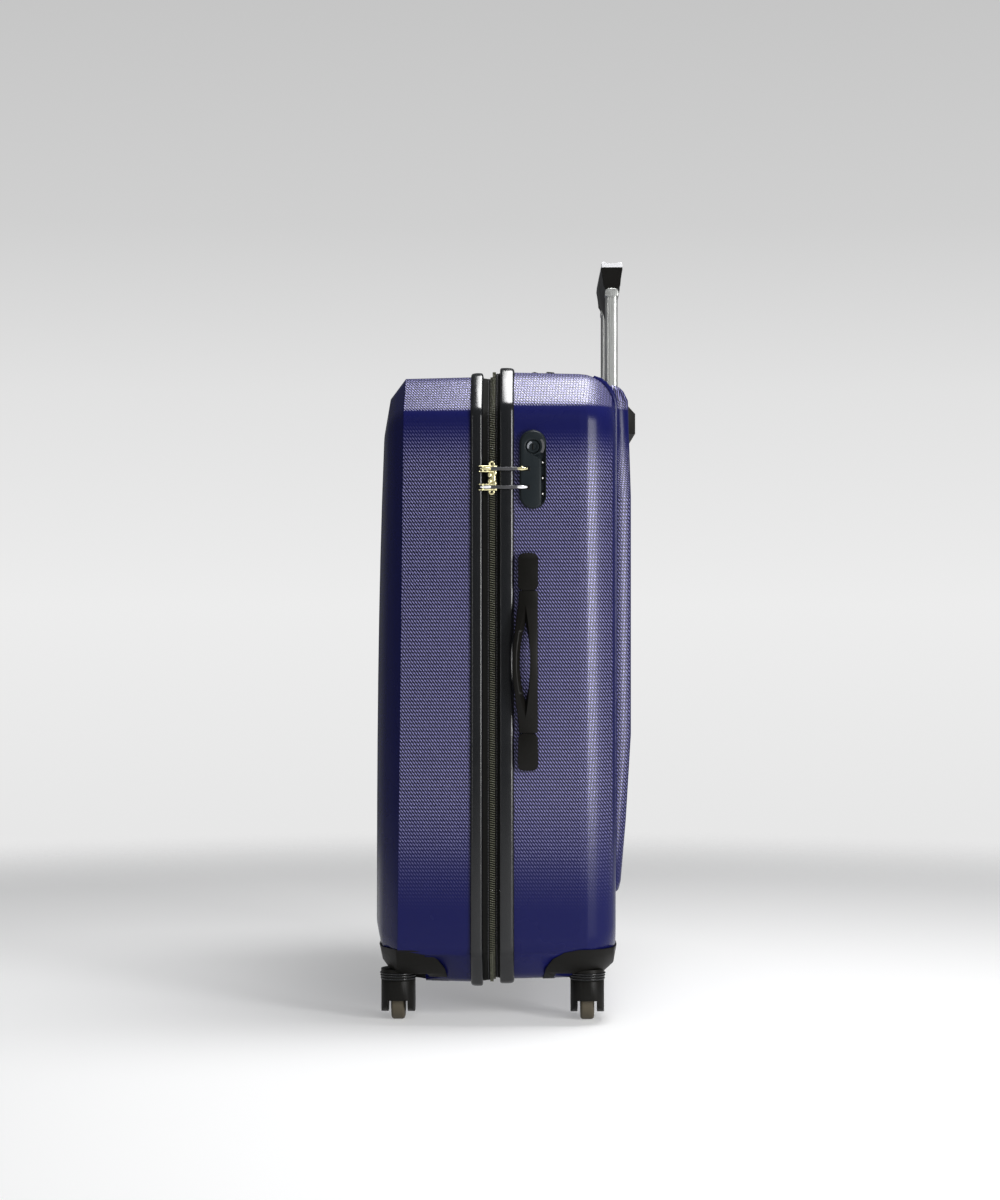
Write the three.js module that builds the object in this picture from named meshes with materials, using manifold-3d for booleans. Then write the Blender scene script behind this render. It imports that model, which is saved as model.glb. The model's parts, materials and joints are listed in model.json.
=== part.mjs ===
// Hard shell suitcase on four swivel casters, with a telescopic trolley handle.
// Millimetres, +Z up. While it is built, x = 0 is the zipper plane: the front half lies on -X,
// the rear half with the trolley on +X. The side handle and the lock face -Y ("near"), and the
// hinge is on +Y ("far"). The last lines move the origin to the floor, under the middle of the box.

import * as THREE from 'three';
import Module from 'manifold-3d';
import { mergeVertices } from 'three/addons/utils/BufferGeometryUtils.js';
import { ConvexGeometry } from 'three/addons/geometries/ConvexGeometry.js';
import { LoftGeometry } from 'three/addons/geometries/LoftGeometry.js';

const wasm = await Module();
wasm.setup();

// ---------------------------------------------------------------- driving dimensions

const gap = 0.3; // between pieces that touch
const slide = 0.5; // running clearance of pieces that move
const outside = 40; // cutting tools reach this far past the case

// case
const caseWidth = 510;
const caseHeight = 710;
const frontDepth = 137;
const rearDepth = 143;
const frontTopStep = 6; // the front half sits this much lower at the top
const frontBottomStep = 3; // and this much lower at the bottom
const shellWall = 3;
const topChamfer = 45;
const bottomChamfer = 40;
const cornerEase = 18; // length taken off each side of an outline corner
const sideDraft = 2;

// front half, from its side faces round to the front face
const frontEdgeSetback = 27; // side face ends this far short of the full depth
const frontEdgeLean = 8; // and this much further back at the top
const frontBevelDepth = 18;
const frontBevelInset = 25;
const frontFaceInset = 65;
const frontFaceLean = 12;

// rear half, from its side faces round to the back
const rearEdgeSetback = 36;
const rearBendDepths = [17, 4];
const rearBendInsets = [8, 19];
const rearFaceInset = 40;
const panelRaise = 19; // raised back panel that covers the trolley tubes
const panelMargin = 63; // from the case side to the panel
const panelDraft = 10;
const panelTopGap = 15;
const panelBottomGap = 100;
const panelTopProfile = [[15, 0], [3.5, 17], [0, 130]]; // fall from the face, drop from its top
const panelFootProfile = [[0, 185], [6, 84], [12, 12], [15, 0]]; // fall, rise from its foot

// trim strips, zipper and hinge strip
const frontZipperHalf = 11.7; // zipper plane to the front trim
const rearZipperHalf = 8.2; // and to the rear trim
const frontTrimWidth = 14;
const rearTrimWidth = 16.7;
const trimProud = 4;
const trimFlange = 2;
const tapeSink = 2.2;
const tapeThickness = 1.6;
const teethWidth = 2.6;
const teethSink = 0.4;
const teethThickness = 1.5;
const hingeEndGap = 12; // hinge strip to the corner chamfers
const hingeProud = 1.5; // hinge line outside the trims
const hingeStripThickness = 3;

// casters
const wheelRadius = 23;
const wheelWidth = 16;
const wheelShoulder = 3;
const wheelGap = 3.5; // wheel to fork leg
const forkLeg = 8;
const forkCrown = 1.7; // wheel to the top of the fork
const forkLegDrop = 13; // axle to the ends of the fork legs
const forkHoodRise = 2; // axle to the lower edge of the hood
const casterTrail = 12;
const axleRadius = 2.5;
const stemRadius = 5;
const stemLength = 24;
const casterFrontSetback = 26;
const casterRearSetback = 33;
const casterSideSetback = 48;

// wheel housings
const housingHeight = 40; // underside of the case to their top edge
const housingReach = 85; // from the outer face towards the zipper
const housingProud = 1.5;
const housingCurve = 42; // length of the curve of their upper inner corner
const housingShoulder = 3; // how close that curve comes to the corner
const housingWall = 5;
const neckRadius = 20;
const neckHeight = 9;
const columnHeight = 33;
const columnRadius = 12;

// trolley
const trolleySpacing = 210;
const sleeveSetback = 10; // raised panel's face to the backs of the sleeves
const tubeDepth = 15;
const tubeWidth = 22;
const tubeCorner = 5;
const tubeWall = 1.3;
const tubeSlide = 0.4;
const innerTubeLength = 485;
const middleTubeLength = 460;
const sleeveLength = 454;
const footHeight = 11;
const cupWall = 3;
const cupClearDepth = 3.5; // grip to the pocket's walls
const cupClearWidth = 3;
const cupFloor = 4;
const cupDepthBelowTop = 64; // case top to the pocket's floor
const cupRimDepth = 7;
const cupRimTop = 33; // case top to the rim
const cupRimBottom = 68;

// trolley grip, drawn out of its pocket by gripRise
const gripRise = 139;
const gripHeight = 28;
const gripBelly = 25;
const gripHalfDepth = 12.7;
const gripFootHalf = 8.5;
const gripEnd = 18; // tube centre to the end of the grip
const gripSocket = 8;
const gripCapHeight = 7;
const buttonLength = 43;
const buttonWidth = 11;
const buttonHeight = 14;
const buttonTravel = 4;

// carrying handles
const handleLength = 250;
const handleWidth = 23;
const handleCap = 43;
const handleThickness = 9;
const handleTravel = 3.5;
const handleTongue = 26;
const tongueThickness = 2.2;
const tongueLift = 1.3; // case skin to the back of a tongue
const handleCorner = 7;
const handleInset = 3; // mount's sides to its pocket
const handleLens = 90;
const handleLensWidth = 16;
const handleLensShift = -5.5; // middle of the handle to the middle of its opening
const gripSpread = 6.5; // how far the grip's edge curves towards the zipper
const sideHandleProud = 11;
const sideHandleBow = 14;
const sideHandleFromZipper = 41;
const sideHandleBelowTop = 338;
const topHandleProud = 8.5;
const topHandleBow = 8.5;
const topHandleFromZipper = 62;

// lock
const lockWidth = 31;
const lockHeight = 90;
const lockProud = 8;
const lockBodyDepth = 12;
const lockFromZipper = 46.5;
const lockBelowTop = 117;
const keyRadius = 7.2;
const keyRise = 26; // above the middle of the lock
const keySink = 1.5;
const dialRadius = 8.4;
const dialThickness = 7;
const dialPitch = 18;
const dialTopRise = 8;
const dialOffset = 5.5; // towards the rear from the middle of the lock
const dialDepth = 10.5; // lock face to the dial shaft
const dialShaftRadius = 1.8;
const dialChannelWidth = 4.5;
const dialChannelDepth = 5.5;

// zipper sliders and pulls
const sliderHalfWidth = 7;
const sliderLength = 13;
const sliderHeight = 4.4;
const armReach = 3.8; // pull pin to the outside of the slider's arms
const armThickness = 1.6;
const armHalf = 3;
const pullOffset = 11.5; // pull pin in front of the zipper plane
const pullHeight = 9.2; // pull pin outside the case side
const pullBarrel = 2.2;
const pullPin = 0.9;
const pullThickness = 2.6;
const pullBreadth = 3.2;
const pullLength = 52;
const pullSpacing = 21;

// lining, straps and pocket
const liningGap = 3;
const liningThickness = 1;
const liningMouth = 14;
const strapWidth = 30;
const strapThickness = 1.5;
const strapEndGap = 170; // case top and underside to the straps' ends
const strapDepth = 34; // zipper plane to the straps
const buckleWidth = 44;
const buckleHeight = 58;
const buckleThickness = 9;
const pocketWidth = 330;
const pocketHeight = 300;
const pocketThickness = 3;
const pocketLift = 130; // underside of the case to the pocket

// ---------------------------------------------------------------- sizes that follow

const forkTop = 2 * wheelRadius + forkCrown;
const caseFloor = forkTop + gap; // floor to the underside of the rear half
const caseTop = caseFloor + caseHeight;
const caseSide = caseWidth / 2;
const chamferShrink = 2 - Math.SQRT2;
const rear = { side: 1, top: caseTop, bottom: caseFloor, zipper: rearZipperHalf };
const front = {
  side: -1, top: caseTop - frontTopStep, bottom: caseFloor - frontBottomStep,
  zipper: frontZipperHalf,
};
const trimSide = caseSide + trimProud;
const hingeY = trimSide + hingeProud;
const hingeLow = rear.bottom + bottomChamfer + hingeEndGap;
const hingeHigh = front.top - topChamfer - hingeEndGap;
const panelFace = rearDepth + panelRaise;
const middleDepth = tubeDepth + 2 * (tubeSlide + tubeWall);
const middleWidth = tubeWidth + 2 * (tubeSlide + tubeWall);
const sleeveDepth = middleDepth + 2 * (tubeSlide + tubeWall);
const sleeveWidth = middleWidth + 2 * (tubeSlide + tubeWall);
const trolleyX = panelFace - sleeveSetback - sleeveDepth / 2;
const gripTop = caseTop + gripRise;
const gripBodyTop = gripTop - gripCapHeight;
const gripFoot = gripBodyTop - gripHeight;
const gripHalfLength = trolleySpacing / 2 + gripEnd;
const pocketFloor = caseTop - cupDepthBelowTop;
const sleeveTop = pocketFloor - cupFloor - gap;
const middleTop = pocketFloor + 6;
const lockZ = caseTop - lockBelowTop;
const lockFace = -caseSide - lockProud;
const pullY = -caseSide - pullHeight;
const forkHalf = wheelWidth / 2 + wheelGap + forkLeg;
const wellRadius = casterTrail + wheelRadius + 5; // the caster turns inside it
const wellTop = forkTop + neckHeight;
const columnTop = wellTop + columnHeight;
const housingTop = caseFloor + housingHeight;
const housingWidth = casterSideSetback + wellRadius + 2;
const nearFar = [['near', -1], ['far', 1]];

// ---------------------------------------------------------------- solids

const xAxis = new THREE.Vector3(1, 0, 0);
const yAxis = new THREE.Vector3(0, 1, 0);
const zAxis = new THREE.Vector3(0, 0, 1);

function solid(geometry) {
  const bare = geometry.index ? geometry.toNonIndexed() : geometry.clone();
  bare.deleteAttribute('normal');
  bare.deleteAttribute('uv');
  const merged = mergeVertices(bare, 1e-4);
  return new wasm.Manifold(new wasm.Mesh({
    numProp: 3,
    vertProperties: new Float32Array(merged.attributes.position.array),
    triVerts: new Uint32Array(merged.index.array),
  }));
}

function geometryOf(body) {
  const mesh = body.getMesh();
  const geometry = new THREE.BufferGeometry();
  geometry.setAttribute('position', new THREE.BufferAttribute(mesh.vertProperties, 3));
  geometry.setIndex(new THREE.BufferAttribute(mesh.triVerts, 1));
  return geometry;
}

function join(first, ...others) {
  return others.reduce((sum, body) => sum.add(body), first);
}

function cut(first, ...tools) {
  return tools.reduce((rest, tool) => rest.subtract(tool), first);
}

// A box between two corners.
function block(x0, x1, y0, y1, z0, z1) {
  const geometry = new THREE.BoxGeometry(x1 - x0, y1 - y0, z1 - z0);
  geometry.translate((x0 + x1) / 2, (y0 + y1) / 2, (z0 + z1) / 2);
  return solid(geometry);
}

// A shape drawn in (y, z), between two values of x.
function alongX(shape, x0, x1, curveSegments = 3) {
  const settings = { depth: x1 - x0, bevelEnabled: false, curveSegments };
  const geometry = new THREE.ExtrudeGeometry(shape, settings);
  geometry.applyMatrix4(new THREE.Matrix4().makeBasis(yAxis, zAxis, xAxis));
  geometry.translate(x0, 0, 0);
  return solid(geometry);
}

// A shape drawn in (x, z), between two values of y.
function alongY(shape, y0, y1, curveSegments = 4) {
  const settings = { depth: y1 - y0, bevelEnabled: false, curveSegments };
  const geometry = new THREE.ExtrudeGeometry(shape, settings);
  geometry.applyMatrix4(new THREE.Matrix4().makeBasis(xAxis, zAxis, yAxis.clone().negate()));
  geometry.translate(0, y1, 0);
  return solid(geometry);
}

// A shape drawn in (x, y), between two values of z.
function alongZ(shape, z0, z1, curveSegments = 3) {
  const settings = { depth: z1 - z0, bevelEnabled: false, curveSegments };
  const geometry = new THREE.ExtrudeGeometry(shape, settings);
  geometry.translate(0, 0, z0);
  return solid(geometry);
}

// A round bar centred on a point, along one axis.
function bar(radius, length, axis, centre, segments = 20) {
  const geometry = new THREE.CylinderGeometry(radius, radius, length, segments);
  geometry.applyQuaternion(new THREE.Quaternion().setFromUnitVectors(yAxis, axis));
  geometry.translate(centre.x, centre.y, centre.z);
  return solid(geometry);
}

function at(x, y, z) {
  return new THREE.Vector3(x, y, z);
}

function placed(body, x, y, z) {
  return solid(geometryOf(body).translate(x, y, z));
}

function roundedRect(width, height, radius) {
  const w = width / 2;
  const h = height / 2;
  const shape = new THREE.Shape();
  shape.moveTo(w, h - radius);
  shape.absarc(w - radius, h - radius, radius, 0, Math.PI / 2);
  shape.absarc(radius - w, h - radius, radius, Math.PI / 2, Math.PI);
  shape.absarc(radius - w, radius - h, radius, Math.PI, 1.5 * Math.PI);
  shape.absarc(w - radius, radius - h, radius, 1.5 * Math.PI, 2 * Math.PI);
  return shape;
}

function polygon(points) {
  return new THREE.Shape(points.map(([u, v]) => new THREE.Vector2(u, v)));
}

// ---------------------------------------------------------------- case outline and halves

// A polygon whose corners are eased by a short curve.
function easedPolygon(corners, ease) {
  const shape = new THREE.Shape();
  const count = corners.length;
  for (let i = 0; i <= count; i += 1) {
    const corner = corners[i % count];
    const before = corners[(i + count - 1) % count].clone().sub(corner);
    const after = corners[(i + 1) % count].clone().sub(corner);
    const length = Math.min(ease, 0.45 * before.length(), 0.45 * after.length());
    const leave = after.setLength(length).add(corner);
    if (i === 0) {
      shape.moveTo(leave.x, leave.y);
      continue;
    }
    const arrive = before.setLength(length).add(corner);
    shape.lineTo(arrive.x, arrive.y);
    shape.quadraticCurveTo(corner.x, corner.y, leave.x, leave.y);
  }
  return shape;
}

// The outline of a half seen along X, moved inwards by an inset.
function outline(half, inset) {
  const side = caseSide - inset;
  const high = half.top - inset;
  const low = half.bottom + inset;
  const topCut = topChamfer - inset * chamferShrink;
  const bottomCut = bottomChamfer - inset * chamferShrink;
  const corners = [
    [side, low + bottomCut], [side, high - topCut], [side - topCut, high], [topCut - side, high],
    [-side, high - topCut], [-side, low + bottomCut], [bottomCut - side, low], [side - bottomCut, low],
  ];
  return easedPolygon(corners.map(([y, z]) => new THREE.Vector2(y, z)), cornerEase);
}

function outlineRing(half, outerInset, innerInset, x0, x1) {
  const shape = outline(half, outerInset);
  shape.holes.push(outline(half, innerInset));
  const [from, to] = half.side > 0 ? [x0, x1] : [-x1, -x0];
  return alongX(shape, from, to, 2);
}

// Points of an outline, each at its own reach from the zipper plane, with extra ones up the sides.
function ring(half, inset, reach, uprightSteps = 1) {
  const corners = outline(half, inset).getPoints(2);
  const points = [];
  corners.forEach((point, i) => {
    const next = corners[(i + 1) % corners.length];
    const steps = Math.abs(next.y - point.y) > caseHeight / 2 ? uprightSteps : 1;
    for (let k = 0; k < steps; k += 1) {
      const p = point.clone().lerp(next, k / steps);
      points.push(at(half.side * reach(p.y), p.x, p.y));
    }
  });
  return points;
}

// Solid form of a half, with its surface moved inwards by skin and its open side at mouth.
function frontForm(skin, mouth) {
  const rise = (z) => THREE.MathUtils.clamp((z - front.bottom) / (front.top - front.bottom), 0, 1);
  const edge = (z) => frontDepth - frontEdgeSetback - frontEdgeLean * rise(z) - skin;
  const face = (z) => frontDepth - frontFaceLean * rise(z) ** 3 - skin;
  return solid(new ConvexGeometry([
    ...ring(front, skin, () => mouth),
    ...ring(front, skin + sideDraft, edge),
    ...ring(front, skin + frontBevelInset, (z) => edge(z) + frontBevelDepth),
    ...ring(front, skin + frontFaceInset, face, 5),
  ]));
}

function rearForm(skin, mouth) {
  return solid(new ConvexGeometry([
    ...ring(rear, skin, () => mouth),
    ...ring(rear, skin + sideDraft, () => rearDepth - rearEdgeSetback - skin),
    ...ring(rear, skin + rearBendInsets[0], () => rearDepth - rearBendDepths[0] - skin),
    ...ring(rear, skin + rearBendInsets[1], () => rearDepth - rearBendDepths[1] - skin),
    ...ring(rear, skin + rearFaceInset, () => rearDepth - skin),
  ]));
}

// The raised back panel: a shallow block that thins towards its lower end.
function panelForm(skin) {
  const base = caseSide - panelMargin - skin;
  const face = base - panelDraft;
  const root = rearDepth - 2 * shellWall;
  const high = caseTop - panelTopGap - skin;
  const low = caseFloor + panelBottomGap + skin;
  const profile = [
    ...panelTopProfile.map(([fall, drop]) => [panelRaise - fall, high - drop]),
    ...panelFootProfile.map(([fall, rise]) => [panelRaise - fall, low + rise]),
  ];
  const points = [];
  for (const side of [-1, 1]) {
    points.push(at(root, side * base, high), at(root, side * base, low));
    profile.forEach(([proud, z]) => points.push(at(rearDepth + proud - skin, side * face, z)));
  }
  return solid(new ConvexGeometry(points));
}

// The corner that a wheel housing takes out of its half.
function housingCorner(half, end, grow) {
  const deep = (half === rear ? panelFace : frontDepth) + outside;
  const inner = (half === rear ? rearDepth : frontDepth) - housingReach - grow;
  const high = housingTop + grow;
  const shape = new THREE.Shape();
  shape.moveTo(half.side * deep, 0);
  shape.lineTo(half.side * deep, high);
  shape.lineTo(half.side * (inner + housingCurve), high);
  shape.quadraticCurveTo(
    half.side * (inner + housingShoulder), high - housingShoulder, half.side * inner, caseFloor,
  );
  shape.lineTo(half.side * inner, 0);
  const edge = caseSide - housingWidth - grow;
  const far = caseSide + outside;
  return end < 0 ? alongY(shape, -far, -edge) : alongY(shape, edge, far);
}

// Zipper plane to the open edge of a half's shell.
function shellMouth(half) {
  return half.zipper + trimFlange + gap;
}

function casterCentre(half, end) {
  const depth = half === rear ? rearDepth - casterRearSetback : frontDepth - casterFrontSetback;
  return at(half.side * depth, end * (caseSide - casterSideSetback), 0);
}

function form(half, skin, mouth) {
  return half === rear ? rearForm(skin, mouth) : frontForm(skin, mouth);
}

function frontShell() {
  const tub = cut(frontForm(0, shellMouth(front)), frontForm(shellWall, 0));
  return cut(tub, housingCorner(front, -1, gap), housingCorner(front, 1, gap));
}

function rearShell() {
  const outside = join(rearForm(0, shellMouth(rear)), panelForm(0));
  const inside = join(rearForm(shellWall, 0), panelForm(shellWall));
  return cut(
    outside, inside,
    housingCorner(rear, -1, gap), housingCorner(rear, 1, gap),
    cupBlock(gap), lockBody(gap),
  );
}

function trim(half) {
  const width = half === rear ? rearTrimWidth : frontTrimWidth;
  const band = outlineRing(half, -trimProud, -gap, half.zipper, half.zipper + width);
  const flange = outlineRing(half, -trimProud, shellWall + 2, half.zipper, half.zipper + trimFlange);
  return join(band, flange);
}

// Space along the far side that the zipper leaves to the hinge strip.
function hingeSpace(grow) {
  return block(
    -outside, outside, caseSide - outside, caseSide + outside,
    hingeLow - grow, hingeHigh + grow,
  );
}

function zipperTape(half) {
  const band = outlineRing(half, tapeSink, tapeSink + tapeThickness, slide, half.zipper - gap);
  return cut(band, hingeSpace(gap));
}

function zipperTeeth(half) {
  const band = outlineRing(half, teethSink, teethSink + teethThickness, slide, slide + teethWidth);
  return cut(band, hingeSpace(gap));
}

function hingeStrip(half) {
  const outer = hingeY - slide;
  const [x0, x1] = half === rear ? [slide, rear.zipper - gap] : [gap - front.zipper, -slide];
  return block(x0, x1, outer - hingeStripThickness, outer, hingeLow, hingeHigh);
}

// ---------------------------------------------------------------- wheel housings and casters

function wheelHousing(half, end) {
  const centre = casterCentre(half, end);
  const corner = housingCorner(half, end, 0);
  const skin = form(half, -housingProud, shellMouth(half)).intersect(corner);
  const shell = cut(skin, form(half, housingWall, 0));
  const well = bar(wellRadius, 2 * wellTop, zAxis, centre, 28);
  const neckRoot = 4; // the neck goes this far into the plate
  const neck = bar(
    neckRadius, neckHeight + neckRoot, zAxis,
    at(centre.x, centre.y, forkTop + slide + (neckHeight + neckRoot) / 2), 28,
  );
  const plate = bar(
    wellRadius + 3, housingWall, zAxis, at(centre.x, centre.y, wellTop + housingWall / 2), 28,
  );
  const column = bar(
    columnRadius, columnHeight, zAxis, at(centre.x, centre.y, wellTop + columnHeight / 2),
  );
  const bore = bar(
    stemRadius + slide, 2 * (stemLength + 2), zAxis, at(centre.x, centre.y, forkTop),
  );
  const lid = plate.intersect(form(half, -housingProud, shellMouth(half))).intersect(corner);
  return cut(join(cut(shell, well), lid, neck, column), bore);
}

function casterFork() {
  const hood = wheelRadius + forkHoodRise;
  const legEnd = wheelRadius - forkLegDrop;
  const side = new THREE.Shape();
  side.moveTo(-forkHalf, forkTop);
  side.lineTo(-forkHalf, hood + 6);
  side.quadraticCurveTo(-forkHalf + 2, legEnd + 3, casterTrail - 8, legEnd);
  side.lineTo(casterTrail + 6, legEnd);
  side.quadraticCurveTo(casterTrail + 15, legEnd + 8, neckRadius, forkTop - 12);
  side.lineTo(forkHalf, forkTop);
  const legs = alongX(side, -forkHalf, forkHalf, 5);
  const round = bar(forkHalf + 0.4, forkTop * 2, zAxis, at(0, 0, 0), 28);
  const trail = block(-forkHalf, forkHalf, 0, 3 * wheelRadius, 0, forkTop);
  const space = forkHalf - forkLeg;
  const wheelSpace = alongX(wheelOutline(wheelRadius + 2), -space, space, 8);
  const below = block(-space, space, -wheelRadius, casterTrail + 2 * wheelRadius, 0, hood);
  const behind = block(-space, space, casterTrail, casterTrail + 2 * wheelRadius, 0, forkTop - 8);
  const axleBore = bar(axleRadius + gap, 2 * forkHalf, xAxis, at(0, casterTrail, wheelRadius), 16);
  const stem = bar(stemRadius, stemLength + 1, zAxis, at(0, 0, forkTop + stemLength / 2 - 0.5));
  return join(cut(legs.intersect(join(round, trail)), wheelSpace, below, behind, axleBore), stem);
}

function wheelOutline(radius) {
  const circle = new THREE.Shape();
  circle.absarc(casterTrail, wheelRadius, radius, 0, 2 * Math.PI);
  return circle;
}

function casterWheel() {
  const half = wheelWidth / 2;
  const bore = axleRadius + slide;
  const profile = [
    [bore, -half], [wheelRadius * 0.42, -half], [wheelRadius * 0.46, 1.5 - half],
    [wheelRadius * 0.72, 1.5 - half], [wheelRadius * 0.78, -half], [wheelRadius - wheelShoulder, -half],
    [wheelRadius, wheelShoulder - half], [wheelRadius, half - wheelShoulder],
    [wheelRadius - wheelShoulder, half],
    [wheelRadius * 0.78, half], [wheelRadius * 0.72, half - 1.5], [wheelRadius * 0.46, half - 1.5],
    [wheelRadius * 0.42, half], [bore, half], [bore, -half],
  ];
  const geometry = new THREE.LatheGeometry(profile.map(([r, h]) => new THREE.Vector2(r, h)), 28);
  geometry.rotateZ(-Math.PI / 2);
  geometry.translate(0, casterTrail, wheelRadius);
  return solid(geometry);
}

function casterAxle() {
  const length = 2 * forkHalf - 2;
  return bar(axleRadius, length, xAxis, at(0, casterTrail, wheelRadius), 14);
}

// ---------------------------------------------------------------- trolley

// The block of space that the trolley cup takes out of the rear half.
function cupBlock(grow) {
  const halfDepth = gripHalfDepth + cupClearDepth + cupWall + grow;
  const halfLength = gripHalfLength + cupClearWidth + cupWall + grow;
  return block(
    trolleyX - halfDepth, panelFace + outside, -halfLength, halfLength,
    pocketFloor - cupFloor - grow, caseTop + outside,
  );
}

function trolleyCup() {
  const skin = join(rearForm(-1, shellMouth(rear)), panelForm(-1));
  const rim = block(
    rearDepth, panelFace + cupRimDepth,
    -gripHalfLength - cupClearWidth, gripHalfLength + cupClearWidth,
    caseTop - cupRimBottom, caseTop - cupRimTop,
  );
  const rimSlope = alongY(polygon([
    [panelFace - 4, caseTop - cupRimTop + 1], [panelFace + cupRimDepth + 1, caseTop - cupRimTop + 1],
    [panelFace + cupRimDepth + 1, caseTop - cupRimTop - 12],
  ]), -caseSide, caseSide);
  const pocket = block(
    trolleyX - gripHalfDepth - cupClearDepth, trolleyX + gripHalfDepth + cupClearDepth,
    -gripHalfLength - cupClearWidth, gripHalfLength + cupClearWidth,
    pocketFloor, caseTop + outside,
  );
  const cup = join(cupBlock(0).intersect(skin), cut(rim.intersect(cupBlock(0)), rimSlope));
  const holes = [-1, 1].map((side) => placed(
    alongZ(
      roundedRect(middleDepth + 2 * tubeSlide, middleWidth + 2 * tubeSlide, tubeCorner),
      -outside, outside,
    ),
    trolleyX, side * trolleySpacing / 2, pocketFloor,
  ));
  return cut(cup, pocket, ...holes);
}

// A hollow trolley tube with its top end at z = top.
function tube(depth, width, length, side, top) {
  const shape = roundedRect(depth, width, tubeCorner);
  shape.holes.push(roundedRect(depth - 2 * tubeWall, width - 2 * tubeWall, tubeCorner - tubeWall));
  return placed(alongZ(shape, -length, 0), trolleyX, side * trolleySpacing / 2, top);
}

function trolleyFoot() {
  const top = sleeveTop - sleeveLength - gap;
  const halfWidth = (trolleySpacing + sleeveWidth) / 2 + 6;
  const halfDepth = sleeveDepth / 2;
  return block(
    trolleyX - halfDepth, trolleyX + halfDepth - 1, -halfWidth, halfWidth, top - footHeight, top,
  );
}

// Section of the grip at a distance y from its middle, as a ring of points.
function gripSection(y) {
  const bellyHalf = trolleySpacing / 2 - 16;
  const bow = (1 + Math.cos(Math.PI * Math.min(Math.abs(y) / bellyHalf, 1))) / 2;
  const foot = gripFoot - gripBelly * bow;
  const footHalf = THREE.MathUtils.lerp(gripFootHalf, 4.5, bow);
  const waistHalf = THREE.MathUtils.lerp(gripHalfDepth - 2, gripHalfDepth + 0.3, bow);
  const waist = gripBodyTop - gripHeight / 2;
  return [
    [-gripHalfDepth, gripBodyTop], [-waistHalf, waist], [-footHalf, foot + 3], [3 - footHalf, foot],
    [footHalf - 3, foot], [footHalf, foot + 3], [waistHalf, waist], [gripHalfDepth, gripBodyTop],
  ].map(([x, z]) => at(trolleyX + x, y, z));
}

function trolleyGrip() {
  const stations = 12;
  const sections = [];
  for (let i = 0; i <= stations; i += 1) {
    sections.push(gripSection(gripHalfLength * (2 * i / stations - 1)).reverse());
  }
  const body = solid(new LoftGeometry(sections, { capStart: true, capEnd: true }));
  const sockets = [-1, 1].map((side) => placed(
    alongZ(roundedRect(tubeDepth + 2 * gap, tubeWidth + 2 * gap, tubeCorner), -30, gripSocket),
    trolleyX, side * trolleySpacing / 2, gripFoot,
  ));
  const well = buttonSpace(slide).intersect(block(0, 300, -caseSide, caseSide, 0, gripBodyTop + 1));
  return cut(body, ...sockets, well);
}

function buttonSpace(grow) {
  const w = buttonWidth / 2 + grow;
  const l = buttonLength / 2 + grow;
  const low = gripTop - 0.7 - buttonHeight - (grow > 0 ? buttonTravel + grow : 0);
  return block(trolleyX - w, trolleyX + w, -l, l, low, gripTop - 0.7 + 5 * grow);
}

// Bright cap along the top of the grip, with a shallow trough between two raised edges.
function gripCap() {
  const low = gripBodyTop + gap;
  const h = gripHalfDepth;
  const section = new THREE.Shape();
  section.moveTo(trolleyX - h, low);
  section.lineTo(trolleyX + h, low);
  section.lineTo(trolleyX + h - 1, gripTop - 1);
  section.lineTo(trolleyX + h - 3, gripTop);
  section.quadraticCurveTo(trolleyX, gripTop - 4, trolleyX - h + 3, gripTop);
  section.lineTo(trolleyX - h + 1, gripTop - 1);
  return cut(alongY(section, -gripHalfLength, gripHalfLength), buttonSpace(slide));
}

// ---------------------------------------------------------------- carrying handles

// Both handles are made in one frame: length along Z, outwards along -Y, the case skin at y = 0.
function handleMount(end, proud) {
  const near = handleLength / 2 - handleCap;
  const length = handleCap;
  const plan = alongY(roundedRect(handleWidth, length, handleCorner), -proud, -gap);
  const slopeLength = 8;
  const slopeDrop = 4;
  const profile = alongX(polygon([
    [-gap, -length / 2], [-proud, -length / 2], [-proud, length / 2 - slopeLength],
    [-proud + slopeDrop, length / 2], [-gap, length / 2],
  ]), -handleWidth, handleWidth);
  const pocket = block(
    handleInset - handleWidth / 2, handleWidth / 2 - handleInset,
    -tongueLift - tongueThickness - handleTravel - slide, 1,
    -length / 2 - 1, -length / 2 + handleTongue + 1,
  );
  const made = cut(plan.intersect(profile), pocket);
  const geometry = geometryOf(made).translate(0, 0, near + length / 2);
  if (end < 0) geometry.rotateY(Math.PI);
  return solid(geometry);
}

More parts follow.
